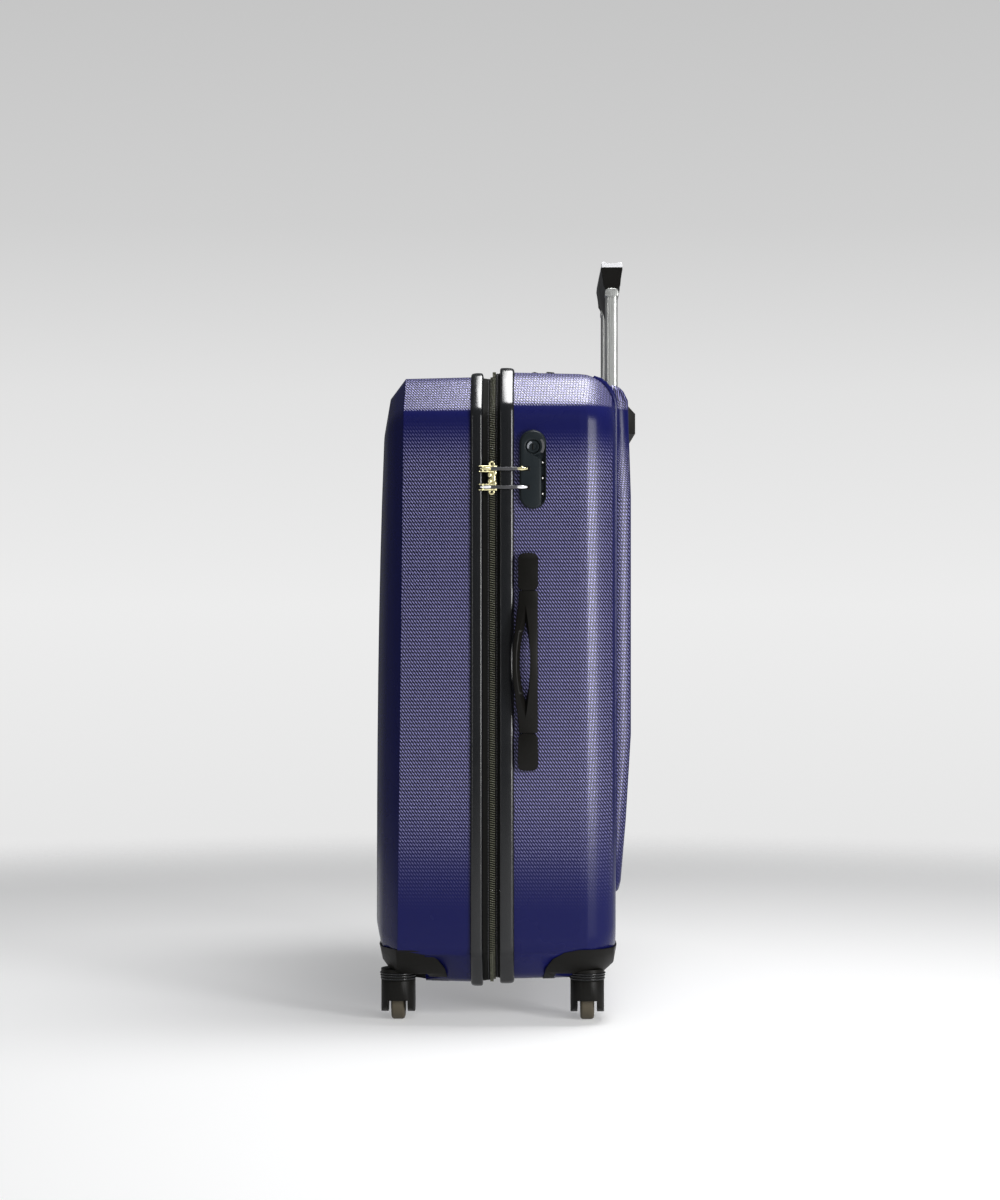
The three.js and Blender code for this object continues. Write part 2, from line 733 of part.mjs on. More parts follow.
function handleGrip(proud, bow) {
  const half = handleLength / 2 - handleCap - slide;
  const back = -1.2;
  const deep = 60; // past the outside of the grip
  const side = new THREE.Shape();
  side.moveTo(back, -half);
  side.lineTo(-proud, -half);
  side.bezierCurveTo(-proud - bow * 0.4, -half * 0.6, -proud - bow, -half * 0.35, -proud - bow, 0);
  side.bezierCurveTo(-proud - bow, half * 0.35, -proud - bow * 0.4, half * 0.6, -proud, half);
  side.lineTo(back, half);
  const under = -proud - bow + handleThickness;
  side.bezierCurveTo(back, half * 0.7, under, half * 0.5, under, 0);
  side.bezierCurveTo(under, -half * 0.5, back, -half * 0.7, back, -half);
  const w = handleWidth / 2;
  const face = new THREE.Shape();
  face.moveTo(w, -half);
  face.lineTo(w - 1, half);
  face.lineTo(-w + 1, half);
  face.bezierCurveTo(-w - gripSpread, half * 0.3, -w - gripSpread, -half * 0.3, -w + 1, -half);
  const lens = new THREE.Shape();
  const middle = handleLensShift;
  lens.moveTo(middle, -handleLens / 2);
  lens.quadraticCurveTo(middle + handleLensWidth, 0, middle, handleLens / 2);
  lens.quadraticCurveTo(middle - handleLensWidth, 0, middle, -handleLens / 2);
  const band = alongX(side, -handleWidth, handleWidth, 8).intersect(alongY(face, -deep, 0, 8));
  const tongues = [-1, 1].map((end) => {
    const reach = [end * (half - 4), end * (half + handleTongue)].sort((a, b) => a - b);
    const tongueHalf = w - handleInset - 1;
    return block(-tongueHalf, tongueHalf, -tongueLift - tongueThickness, -tongueLift, ...reach);
  });
  return join(cut(band, alongY(lens, -deep, 5, 8)), ...tongues);
}

// ---------------------------------------------------------------- lock

// The part of the lock that passes through the wall of the rear half.
function lockBody(grow) {
  const left = lockWidth / 2 - 2.5 + grow;
  const right = dialOffset + dialRadius + 1.2 + grow;
  const h = lockHeight / 2 - 4 + grow;
  return block(
    lockFromZipper - left, lockFromZipper + right, -caseSide - 1, -caseSide + lockBodyDepth + grow,
    lockZ - h, lockZ + h,
  );
}

function dialHeights() {
  return [0, 1, 2].map((i) => lockZ + dialTopRise - i * dialPitch);
}

function pullHeights() {
  return [lockZ + 0.5, lockZ + 0.5 - pullSpacing];
}

function dialCentre(z) {
  return at(lockFromZipper + dialOffset, lockFace + dialDepth, z);
}

function lockHousing() {
  const plate = placed(
    alongY(roundedRect(lockWidth, lockHeight, lockWidth / 2 - 0.5), lockFace, -caseSide - gap, 6),
    lockFromZipper, 0, lockZ,
  );
  const keyBore = bar(keyRadius + slide, 2 * (lockProud + lockBodyDepth - 4), yAxis,
    at(lockFromZipper, lockFace, lockZ + keyRise), 24);
  const dialSpaces = dialHeights().map((z) =>
    bar(dialRadius + 0.6, dialThickness + 2 * slide, zAxis, dialCentre(z), 24));
  const shaftLow = dialHeights()[2] - dialThickness;
  const shaftHigh = dialHeights()[0] + dialThickness;
  const shaftBore = bar(dialShaftRadius + gap, shaftHigh - shaftLow + 1, zAxis,
    dialCentre((shaftLow + shaftHigh) / 2), 12);
  const right = lockFromZipper + lockWidth / 2;
  const channel = block(
    right - dialChannelWidth, right + 1, lockFace - 1, lockFace + dialChannelDepth,
    shaftLow - 3, shaftHigh + 1,
  );
  const left = lockFromZipper - lockWidth / 2;
  const slots = pullHeights().map((z) => block(
    left - 1, left + 12, lockFace - 1, lockFace + 5, z - pullBreadth / 2 - 0.8, z + pullBreadth / 2 + 0.8,
  ));
  return cut(join(plate, lockBody(0)), keyBore, ...dialSpaces, shaftBore, channel, ...slots);
}

function lockDial(z) {
  const centre = dialCentre(z);
  return cut(
    bar(dialRadius, dialThickness, zAxis, centre, 20),
    bar(dialShaftRadius + slide, dialThickness + 2, zAxis, centre, 12),
  );
}

function dialShaft() {
  const heights = dialHeights();
  const length = heights[0] - heights[2] + 2 * dialThickness;
  return bar(dialShaftRadius, length - 1, zAxis, dialCentre((heights[0] + heights[2]) / 2), 12);
}

function keyCylinder() {
  const depth = lockProud + lockBodyDepth - 6;
  const z = lockZ + keyRise;
  const face = lockFace + keySink;
  const barrel = bar(keyRadius, depth, yAxis, at(lockFromZipper, face + depth / 2, z), 24);
  const slot = block(lockFromZipper - 1, lockFromZipper + 1, face - 1, face + 6, z - 4, z + 4);
  return cut(barrel, slot);
}

// ---------------------------------------------------------------- zipper sliders and pulls

// A slider whose pull pin is at height z; its body lies above or below the pin.
function zipperSlider(z, toward) {
  const skin = -caseSide - 0.4;
  const top = skin - sliderHeight;
  const bodyLow = Math.min(z - armReach * toward, z + toward * (sliderLength - armReach));
  const body = block(-sliderHalfWidth + 1, sliderHalfWidth - 1, top, skin, bodyLow, bodyLow + sliderLength);
  const plateLow = -trimSide - slide;
  const plate = block(
    -pullOffset - armHalf, 4, plateLow - armThickness, plateLow, z - armReach, z + armReach,
  );
  const arms = [-1, 1].map((side) => {
    const reach = [z + side * (armReach - armThickness), z + side * armReach].sort((a, b) => a - b);
    return block(
      -pullOffset - armHalf, -pullOffset + armHalf, pullY - 1.8, plateLow - 1, ...reach,
    );
  });
  const pin = bar(pullPin, 7, zAxis, at(-pullOffset, pullY, z), 10);
  return join(body, plate, ...arms, pin);
}

function zipperPull(z) {
  const pivot = at(-pullOffset, pullY, z);
  const low = lockFace - 0.4;
  const barrel = bar(pullBarrel, 3.6, zAxis, pivot, 14);
  const arm = block(
    -pullOffset, pullLength - pullOffset, low - pullThickness, low,
    z - pullBreadth / 2, z + pullBreadth / 2,
  );
  const bore = bar(pullPin + gap, 8, zAxis, pivot, 10);
  return cut(join(barrel, arm), bore);
}

// ---------------------------------------------------------------- lining, straps, pocket

// Spaces inside a half that its lining has to go round.
function wells(half, grow) {
  const spaces = [-1, 1].map((end) => {
    const centre = casterCentre(half, end);
    const reach = wellRadius + 5 + grow;
    return block(
      centre.x - reach, centre.x + reach, centre.y - reach, centre.y + reach,
      0, columnTop + 2 + grow,
    );
  });
  if (half === rear) {
    spaces.push(cupBlock(grow + 1), lockBody(grow + 1));
    spaces.push(block(
      trolleyX - sleeveDepth / 2 - 2 - grow, panelFace, -caseSide, caseSide, 0, caseTop,
    ));
  }
  return spaces;
}

function lining(half) {
  const skin = shellWall + liningGap;
  const outside = cut(form(half, skin, liningMouth), ...wells(half, 0));
  const inside = cut(form(half, skin + liningThickness, 0), ...wells(half, liningThickness));
  return cut(outside, inside);
}

// Two straps that cross in the mouth of the rear half.
function packingStrap() {
  const reachY = caseSide - shellWall - liningGap - liningThickness - 6;
  const low = caseFloor + strapEndGap;
  const high = caseTop - strapEndGap;
  const middle = (low + high) / 2;
  const straps = [-1, 1].map((side) => {
    const length = Math.hypot(2 * reachY, high - low) - strapWidth;
    const geometry = new THREE.BoxGeometry(strapThickness, length, strapWidth);
    geometry.rotateX(side * Math.atan2(high - low, 2 * reachY));
    geometry.translate(strapDepth, 0, middle);
    return solid(geometry);
  });
  return join(...straps);
}

function strapBuckle() {
  const middle = (caseFloor + caseTop) / 2;
  const x0 = strapDepth - strapThickness / 2 - gap - buckleThickness;
  return placed(
    alongX(roundedRect(buckleWidth, buckleHeight, 8), x0, x0 + buckleThickness), 0, 0, middle,
  );
}

function lidPocket() {
  const clothFace = frontDepth - frontFaceLean - shellWall - liningGap - liningThickness;
  const back = pocketThickness - clothFace;
  const low = caseFloor + pocketLift;
  return placed(
    alongX(roundedRect(pocketWidth, pocketHeight, 24), back, back + pocketThickness),
    0, 0, low + pocketHeight / 2,
  );
}

// ---------------------------------------------------------------- finishes

const finishes = {
  shell: [0x1a1a5c, 0.38, 0.0],
  trim: [0x17181a, 0.28, 0.0],
  blackPlastic: [0x141414, 0.5, 0.0],
  lockPlastic: [0x22262a, 0.42, 0.0],
  tape: [0x0e0e0e, 0.9, 0.0],
  lining: [0x2a2c33, 0.95, 0.0],
  webbing: [0x15161a, 0.9, 0.0],
  aluminium: [0xb9bcbc, 0.3, 0.9],
  chrome: [0xe2e3e4, 0.12, 1.0],
  gold: [0xc9b67a, 0.25, 1.0],
  steel: [0x9a9c9e, 0.35, 1.0],
  tyre: [0x3a332b, 0.8, 0.0],
};

const suitcase = new THREE.Group();

function add(name, finish, body, parent = suitcase) {
  const [color, roughness, metalness] = finishes[finish];
  const material = new THREE.MeshStandardMaterial({ color, roughness, metalness });
  const mesh = new THREE.Mesh(geometryOf(body), material);
  mesh.name = name;
  parent.add(mesh);
  return mesh;
}

// ---------------------------------------------------------------- assembly

add('rear_shell', 'shell', rearShell());
add('front_shell', 'shell', frontShell());

for (const [name, half] of [['rear', rear], ['front', front]]) {
  add(`${name}_trim`, 'trim', trim(half));
  add(`${name}_zipper_tape`, 'tape', zipperTape(half));
  add(`${name}_zipper_teeth`, 'tape', zipperTeeth(half));
  add(`${name}_hinge_strip`, 'tape', hingeStrip(half));
  add(`${name}_lining`, 'lining', lining(half));
  for (const [endName, end] of nearFar) {
    add(`${name}_wheel_housing_${endName}`, 'blackPlastic', wheelHousing(half, end));
    const caster = new THREE.Group();
    caster.position.copy(casterCentre(half, end));
    add(`${name}_fork_${endName}`, 'blackPlastic', casterFork(), caster);
    add(`${name}_wheel_${endName}`, 'tyre', casterWheel(), caster);
    add(`${name}_axle_${endName}`, 'steel', casterAxle(), caster);
    suitcase.add(caster);
  }
}

add('trolley_cup', 'blackPlastic', trolleyCup());
add('trolley_foot', 'blackPlastic', trolleyFoot());
for (const [name, side] of nearFar) {
  add(`trolley_sleeve_${name}`, 'aluminium', tube(sleeveDepth, sleeveWidth, sleeveLength, side, sleeveTop));
  add(`trolley_middle_tube_${name}`, 'aluminium',
    tube(middleDepth, middleWidth, middleTubeLength, side, middleTop));
  add(`trolley_inner_tube_${name}`, 'aluminium',
    tube(tubeDepth, tubeWidth, innerTubeLength, side, gripFoot + gripSocket - gap));
}
add('trolley_grip', 'blackPlastic', trolleyGrip());
add('trolley_grip_cap', 'chrome', gripCap());
add('trolley_button', 'blackPlastic', buttonSpace(0));

const sideHandle = new THREE.Group();
sideHandle.position.set(sideHandleFromZipper, -caseSide, caseTop - sideHandleBelowTop);
add('side_handle_mount_upper', 'blackPlastic', handleMount(1, sideHandleProud), sideHandle);
add('side_handle_mount_lower', 'blackPlastic', handleMount(-1, sideHandleProud), sideHandle);
add('side_handle_grip', 'blackPlastic', handleGrip(sideHandleProud, sideHandleBow), sideHandle);
suitcase.add(sideHandle);

const topHandle = new THREE.Group();
topHandle.position.set(topHandleFromZipper, 0, caseTop);
topHandle.rotation.x = -Math.PI / 2;
add('top_handle_mount_far', 'blackPlastic', handleMount(1, topHandleProud), topHandle);
add('top_handle_mount_near', 'blackPlastic', handleMount(-1, topHandleProud), topHandle);
add('top_handle_grip', 'blackPlastic', handleGrip(topHandleProud, topHandleBow), topHandle);
suitcase.add(topHandle);

add('lock_housing', 'lockPlastic', lockHousing());
add('lock_dial_shaft', 'steel', dialShaft());
dialHeights().forEach((z, i) => add(`lock_dial_${i + 1}`, 'blackPlastic', lockDial(z)));
add('lock_key_cylinder', 'steel', keyCylinder());

const [upperPull, lowerPull] = pullHeights();
add('zipper_slider_upper', 'gold', zipperSlider(upperPull, -1));
add('zipper_slider_lower', 'gold', zipperSlider(lowerPull, 1));
add('zipper_pull_upper', 'steel', zipperPull(upperPull));
add('zipper_pull_lower', 'steel', zipperPull(lowerPull));

add('packing_strap', 'webbing', packingStrap());
add('strap_buckle', 'blackPlastic', strapBuckle());
add('lid_pocket', 'lining', lidPocket());

// The origin goes to the floor, under the middle of the box.
const extent = new THREE.Box3().setFromObject(suitcase, true);
const middle = extent.getCenter(new THREE.Vector3());
suitcase.position.set(-middle.x, -middle.y, -extent.min.z);

export default suitcase;
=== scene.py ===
"""Hard shell suitcase on four swivel casters: its looks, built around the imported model.

Sizes in this file are millimetres in the case's own axes: x from the zipper plane towards the
trolley, y from the middle of the case towards the hinge, z from the floor. place() turns them
into metres in the shared frame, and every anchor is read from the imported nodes.
"""

import json
import math

import bmesh
import bpy
import numpy as np
from mathutils import Matrix, Vector, noise
from mathutils.bvhtree import BVHTree

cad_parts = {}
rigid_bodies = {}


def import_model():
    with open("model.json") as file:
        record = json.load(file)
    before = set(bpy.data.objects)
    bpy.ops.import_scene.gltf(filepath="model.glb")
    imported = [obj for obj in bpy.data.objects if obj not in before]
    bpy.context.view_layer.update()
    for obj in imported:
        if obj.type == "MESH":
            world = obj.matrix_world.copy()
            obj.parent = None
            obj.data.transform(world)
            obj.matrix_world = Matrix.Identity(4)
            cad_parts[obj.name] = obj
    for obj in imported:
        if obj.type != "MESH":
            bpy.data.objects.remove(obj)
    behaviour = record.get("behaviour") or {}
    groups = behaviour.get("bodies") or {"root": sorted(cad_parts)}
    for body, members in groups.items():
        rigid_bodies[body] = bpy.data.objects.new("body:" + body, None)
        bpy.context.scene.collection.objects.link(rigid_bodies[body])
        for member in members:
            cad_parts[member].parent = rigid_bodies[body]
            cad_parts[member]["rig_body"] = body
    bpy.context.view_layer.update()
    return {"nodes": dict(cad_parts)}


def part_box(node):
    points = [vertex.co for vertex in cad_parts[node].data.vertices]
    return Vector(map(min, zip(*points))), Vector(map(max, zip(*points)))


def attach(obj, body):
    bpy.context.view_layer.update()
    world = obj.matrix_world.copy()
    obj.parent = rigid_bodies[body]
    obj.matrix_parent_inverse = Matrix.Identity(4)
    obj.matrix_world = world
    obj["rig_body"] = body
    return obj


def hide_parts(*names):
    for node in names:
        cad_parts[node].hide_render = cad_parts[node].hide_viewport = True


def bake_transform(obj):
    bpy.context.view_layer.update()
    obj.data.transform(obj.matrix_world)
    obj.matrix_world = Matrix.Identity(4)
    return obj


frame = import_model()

bl_info = {
    "name": "Hard Shell Suitcase",
    "version": (1, 0, 0),
    "blender": (4, 5, 0),
    "location": "View3D > Sidebar > Suitcase",
    "description": "Builds the looks of a hard shell suitcase around its packed model",
    "category": "Object",
}

MM = 0.001

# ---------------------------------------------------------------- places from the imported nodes


def box_mm(node):
    """Lowest and highest corner of a node in the case's own axes, in millimetres."""
    low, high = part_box(node)
    return (low - ORIGIN) / MM, (high - ORIGIN) / MM


REAR_TRIM_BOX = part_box("rear_trim")
ORIGIN = Vector((
    (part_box("rear_zipper_tape")[0].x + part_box("front_zipper_tape")[1].x) / 2,
    (REAR_TRIM_BOX[0].y + REAR_TRIM_BOX[1].y) / 2,
    0.0,
))
REAR_LOW, REAR_HIGH = box_mm("rear_shell")
FRONT_LOW, FRONT_HIGH = box_mm("front_shell")
CASE_SIDE = REAR_HIGH.y


class Half:
    """One half of the case: its side of the zipper plane, its heights and its body."""

    def __init__(self, name, side, low, high, body):
        self.name = name
        self.side = side
        self.bottom = low.z
        self.top = high.z
        self.depth = max(abs(low.x), abs(high.x))
        trim_low, trim_high = box_mm(f"{name}_trim")
        self.zipper = min(abs(trim_low.x), abs(trim_high.x))
        self.body = body


REAR = Half("rear", 1, REAR_LOW, REAR_HIGH, "root")
FRONT = Half("front", -1, FRONT_LOW, FRONT_HIGH, "front_case")


def place(x, y, z):
    """A point of the case's own axes, in millimetres, as a point of the shared frame."""
    return ORIGIN + Vector((x, y, z)) * MM


def span(node):
    """Middle and half size of a node in the case's own axes."""
    low, high = box_mm(node)
    return (low + high) / 2, (high - low) / 2


# ---------------------------------------------------------------- mesh helpers


def new_loop(bm, points, closed=True):
    """A chain of edges through points of the case's own axes."""
    verts = [bm.verts.new(place(*p)) for p in points]
    ends = verts[1:] + verts[:1] if closed else verts[1:]
    return [bm.edges.new(pair) for pair in zip(verts, ends)]


def skin(bm, loops, cyclic=False):
    """Draws each loop out to the next one, and the last to the first if cyclic."""
    pairs = list(zip(loops, loops[1:])) + ([(loops[-1], loops[0])] if cyclic else [])
    for first, second in pairs:
        if len(first) != len(second):
            bmesh.ops.bridge_loops(bm, edges=first + second)
            continue
        partner = {}
        for here, there in zip(first, second):
            partner.update(zip(here.verts, there.verts))
        drawn = bmesh.ops.extrude_edge_only(bm, edges=first)["geom"]
        welds = {}
        for vert in (g for g in drawn if isinstance(g, bmesh.types.BMVert)):
            source = next(
                o for o in (e.other_vert(vert) for e in vert.link_edges) if o in partner)
            welds[vert] = partner[source]
        bmesh.ops.weld_verts(bm, targetmap=welds)


def cap(bm, edges):
    return bmesh.ops.contextual_create(bm, geom=edges)["faces"]


def bevel(bm, edges, width, segments=3):
    """Rounds edges by a width in millimetres."""
    return bmesh.ops.bevel(
        bm, geom=list(edges), offset=width * MM, offset_type="OFFSET", segments=segments,
        profile=0.5, affect="EDGES", clamp_overlap=True, material=-1,
    )


def angled_edges(bm, least, most=180.0):
    """Edges whose two faces meet at an angle between two values, in degrees."""
    return [
        e for e in bm.edges
        if e.is_manifold and least <= math.degrees(e.calc_face_angle(0.0)) <= most
    ]


def block(bm, low, high):
    """A box between two corners of the case's own axes. Returns its vertices."""
    low, high = Vector(low), Vector(high)
    matrix = Matrix.Translation(place(*((low + high) / 2))) @ Matrix.Diagonal(
        (*((high - low) * MM), 1.0)
    )
    return bmesh.ops.create_cube(bm, size=1.0, matrix=matrix)["verts"]


def edges_of(verts):
    return list({e for v in verts for e in v.link_edges})


def rounded_block(bm, low, high, width, segments=3):
    """A box with rounded edges."""
    bevel(bm, edges_of(block(bm, low, high)), width, segments)


def rod(bm, start, end, radius, segments=24, end_radius=None):
    """A round bar between two points, with closed ends."""
    a, b = place(*start), place(*end)
    turn = (b - a).to_track_quat("Z", "Y").to_matrix().to_4x4()
    return bmesh.ops.create_cone(
        bm, cap_ends=True, cap_tris=False, segments=segments, radius1=radius * MM,
        radius2=(radius if end_radius is None else end_radius) * MM, depth=(b - a).length,
        matrix=Matrix.Translation((a + b) / 2) @ turn,
    )["verts"]


def spun(bm, profile, centre, axis, steps=48):
    """A turned solid: profile holds (radius, distance along the axis) pairs."""
    axis = Vector(axis).normalized()
    across = axis.orthogonal().normalized()
    middle = Vector(centre)
    edges = new_loop(bm, [middle + across * r + axis * h for r, h in profile], closed=False)
    verts = list({v for e in edges for v in e.verts})
    bmesh.ops.spin(
        bm, geom=edges + verts, cent=place(*centre), axis=axis, angle=2 * math.pi,
        steps=steps, use_merge=True, use_duplicate=False,
    )
    bmesh.ops.remove_doubles(bm, verts=bm.verts[:], dist=1e-6)


def ring_bar(bm, centre, axis, radius, thickness, steps=28, sides=10):
    """A round ring of round wire."""
    circle = [2 * math.pi * i / sides for i in range(sides + 1)]
    spun(
        bm, [(radius + thickness * math.cos(a), thickness * math.sin(a)) for a in circle],
        centre, axis, steps,
    )


def extruded(bm, points, shift, holes=()):
    """A flat outline, with holes, drawn out along a shift. Returns the moved vertices."""
    edges = new_loop(bm, points)
    for hole in holes:
        edges += new_loop(bm, hole)
    if holes:
        made = bmesh.ops.triangle_fill(bm, use_beauty=True, edges=edges)["geom"]
        faces = [g for g in made if isinstance(g, bmesh.types.BMFace)]
    else:
        faces = cap(bm, edges)
    grown = bmesh.ops.extrude_face_region(bm, geom=faces, use_keep_orig=True)["geom"]
    verts = [g for g in grown if isinstance(g, bmesh.types.BMVert)]
    bmesh.ops.translate(bm, verts=verts, vec=Vector(shift) * MM)
    return verts


def arc(centre_u, centre_v, radius, start, end, steps):
    """Points of an arc in two coordinates, between two angles in degrees."""
    angles = [math.radians(start + (end - start) * i / steps) for i in range(steps + 1)]
    return [(centre_u + radius * math.cos(a), centre_v + radius * math.sin(a)) for a in angles]


def copied(node):
    """A node's surface as one joined mesh with its flat faces whole."""
    bm = bmesh.new()
    bm.from_mesh(frame["nodes"][node].data)
    bmesh.ops.remove_doubles(bm, verts=bm.verts[:], dist=2e-6)
    bmesh.ops.dissolve_limit(
        bm, angle_limit=math.radians(1.0), verts=bm.verts[:], edges=bm.edges[:]
    )
    return bm


def cut_box(bm, low, high):
    """Opens a surface where it lies inside a box."""
    low, high = place(*low), place(*high)
    for axis in range(3):
        normal = Vector([float(axis == i) for i in range(3)])
        for point in (low, high):
            bmesh.ops.bisect_plane(
                bm, geom=bm.verts[:] + bm.edges[:] + bm.faces[:], dist=1e-7,
                plane_co=point, plane_no=normal,
            )
    inside = [
        f for f in bm.faces
        if all(low[i] < f.calc_center_median()[i] < high[i] for i in range(3))
    ]
    bmesh.ops.delete(bm, geom=inside, context="FACES")


def piece(name, bm, body, finish, replaces=(), sharp=38.0, recalc=True):
    """Turns a bmesh into a finished piece that rides on a body."""
    bmesh.ops.remove_doubles(bm, verts=bm.verts[:], dist=1e-6)
    if recalc:
        bmesh.ops.recalc_face_normals(bm, faces=bm.faces[:])
    for face in bm.faces:
        face.smooth = True
    for edge in bm.edges:
        edge.smooth = not edge.is_manifold or edge.calc_face_angle(0.0) < math.radians(sharp)
    mesh = bpy.data.meshes.new(name)
    bm.to_mesh(mesh)
    bm.free()
    made = bpy.data.objects.new(name, mesh)
    bpy.context.scene.collection.objects.link(made)
    mesh.materials.append(finishes()[finish])
    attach(made, body)
    if replaces:
        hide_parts(*replaces)
    return made


def thicken(made, wall, even=True):
    """Gives an open surface a wall that grows inwards, in millimetres."""
    modifier = made.modifiers.new("Wall", "SOLIDIFY")
    modifier.thickness = wall * MM
    modifier.offset = -1.0
    modifier.use_even_offset = even
    return made


def softened(node, name, finish, body, width=0.8, segments=2, angle=28.0):
    """A moulded piece that follows a node, with its edges rounded."""
    bm = copied(node)
    bevel(bm, angled_edges(bm, angle), width, segments)
    return piece(name, bm, body, finish, [node])


# ---------------------------------------------------------------- case outline


def eased(corners, ease, steps):
    """Points of a polygon whose corners are rounded by short curves."""
    points = []
    count = len(corners)
    for i, corner in enumerate(corners):
        before, after = corners[i - 1] - corner, corners[(i + 1) % count] - corner
        reach = min(ease, 0.45 * before.length, 0.45 * after.length)
        arrive = corner + before.normalized() * reach
        leave = corner + after.normalized() * reach
        for k in range(steps + 1):
            t = k / steps
            points.append(arrive * (1 - t) ** 2 + corner * (2 * t * (1 - t)) + leave * t * t)
    return points


def outline(half, inset, ease=None, steps=5, uprights=1):
    """The outline of a half seen along x, moved inwards, as (y, z) points."""
    sizes = bpy.context.scene.suitcase_shell
    side = CASE_SIDE - inset
    high, low = half.top - inset, half.bottom + inset
    shrink = inset * (2 - math.sqrt(2))
    top = max(sizes.top_chamfer / MM - shrink, 6.0)
    bottom = max(sizes.bottom_chamfer / MM - shrink, 6.0)
    corners = [Vector(p) for p in (
        (side, low + bottom), (side, high - top), (side - top, high), (top - side, high),
        (-side, high - top), (-side, low + bottom), (bottom - side, low), (side - bottom, low),
    )]
    points = eased(corners, sizes.corner_ease / MM if ease is None else ease, steps)
    made = []
    for i, point in enumerate(points):
        after = points[(i + 1) % len(points)]
        parts = uprights if abs(after.y - point.y) > 300 else 1
        made += [point.lerp(after, k / parts) for k in range(parts)]
    return made


def outline_ring(half, inset, reach, ease=None, steps=5, uprights=1):
    """A ring of points on a half; reach is its distance from the zipper plane, or a function
    of the height."""
    far = reach if callable(reach) else lambda z: reach
    return [
        (half.side * far(p.y), p.x, p.y) for p in outline(half, inset, ease, steps, uprights)
    ]


def sweep_outline(bm, half, profile, ease=None, steps=5):
    """A closed profile of (reach, inset) pairs drawn all round the outline of a half."""
    loops = [new_loop(bm, outline_ring(half, i, r, ease, steps)) for r, i in profile]
    skin(bm, loops, cyclic=True)


class Girth:
    """Distances measured round the outline of a half."""

    def __init__(self, half, inset=0.0, ease=None):
        points = np.array([tuple(p) for p in outline(half, inset, ease)])
        self.start = points
        self.step = np.roll(points, -1, axis=0) - points
        self.length = np.linalg.norm(self.step, axis=1)
        self.before = np.concatenate([[0.0], np.cumsum(self.length)[:-1]])
        self.total = float(self.length.sum())

    def at(self, y, z):
        """Distance round the outline of the point on it nearest to (y, z)."""
        offset = np.array([y, z]) - self.start
        share = np.clip((offset * self.step).sum(1) / np.maximum(self.length, 1e-9) ** 2, 0, 1)
        gap = np.linalg.norm(offset - self.step * share[:, None], axis=1)
        best = int(gap.argmin())
        return float(self.before[best] + share[best] * self.length[best])

    def point(self, distance):
        """(y, z) and the direction at a distance round the outline."""
        i = min(int(np.searchsorted(self.before, distance, "right")) - 1, len(self.before) - 1)
        share = (distance - self.before[i]) / max(self.length[i], 1e-9)
        return self.start[i] + self.step[i] * share, self.step[i] / max(self.length[i], 1e-9)


def lay_weave(bm, half):
    """A UV map in metres: round the outline on the sides, and flat on the front and back."""
    girth = Girth(half)
    layer = bm.loops.layers.uv.new("Weave")
    places = {}
    for face in bm.faces:
        flat = abs(face.normal.x) > 0.85
        for corner in face.loops:
            point = (corner.vert.co - ORIGIN) / MM
            if flat:
                corner[layer].uv = (point.y * MM, point.z * MM)
                continue
            if corner.vert.index not in places:
                places[corner.vert.index] = girth.at(point.y, point.z) * MM
            corner[layer].uv = (point.x * MM, places[corner.vert.index])


def mark_faces(bm, name, test):
    """A face attribute that is 1 where test says so."""
    layer = bm.faces.layers.float.new(name)
    for face in bm.faces:
        face[layer] = 1.0 if test(face) else 0.0


# ---------------------------------------------------------------- finishes


class Finish:
    """A procedural material under construction."""

    def __init__(self, name, **sockets):
        self.material = bpy.data.materials.new(name)
        self.material.use_nodes = True
        self.tree = self.material.node_tree
        self.shader = next(n for n in self.tree.nodes if n.type == "BSDF_PRINCIPLED")
        for socket, value in sockets.items():
            self.shader.inputs[socket.replace("_", " ")].default_value = value
        self.normal = None

    def add(self, kind, inputs=None, **settings):
        made = self.tree.nodes.new("ShaderNode" + kind)
        for key, value in settings.items():
            setattr(made, key, value)
        for key, value in (inputs or {}).items():
            if isinstance(value, bpy.types.NodeSocket):
                self.tree.links.new(value, made.inputs[key])
            else:
                made.inputs[key].default_value = value
        return made

    def point(self):
        return self.add("TexCoord").outputs["Object"]

    def uv(self, name):
        return self.add("UVMap", uv_map=name).outputs["UV"]

    def maths(self, operation, a, b=0.0, clamp=False):
        node = self.add("Math", {0: a, 1: b}, operation=operation, use_clamp=clamp)
        return node.outputs[0]

    def noise(self, scale, detail=3.0, stretch=(1, 1, 1), roughness=0.5):
        mapped = self.add("Mapping", {"Vector": self.point(), "Scale": stretch})
        made = self.add("TexNoise", {
            "Vector": mapped.outputs[0], "Scale": scale, "Detail": detail,
            "Roughness": roughness,
        })
        return made.outputs["Fac"]

    def ramp(self, value, low, high, start=0.0, end=1.0):
        """A smooth step of a value from one level to another."""
        made = self.add("MapRange", {
            "Value": value, "From Min": low, "From Max": high, "To Min": start, "To Max": end,
        }, interpolation_type="SMOOTHSTEP")
        return made.outputs["Result"]

    def mix(self, share, a, b):
        made = self.add("Mix", {0: share, 6: a, 7: b}, data_type="RGBA")
        return made.outputs[2]

    def feed(self, socket, value):
        self.tree.links.new(value, self.shader.inputs[socket])

    def bump(self, height, depth, strength=1.0):
        """Raises the surface by a height from 0 to 1, times a depth in millimetres."""
        inputs = {"Height": height, "Distance": depth * MM, "Strength": strength}
        if self.normal:
            inputs["Normal"] = self.normal
        self.normal = self.add("Bump", inputs).outputs["Normal"]
        self.feed("Normal", self.normal)


def rgb(colour, scale=1.0):
    return tuple(c * scale for c in colour[:3]) + (1.0,)


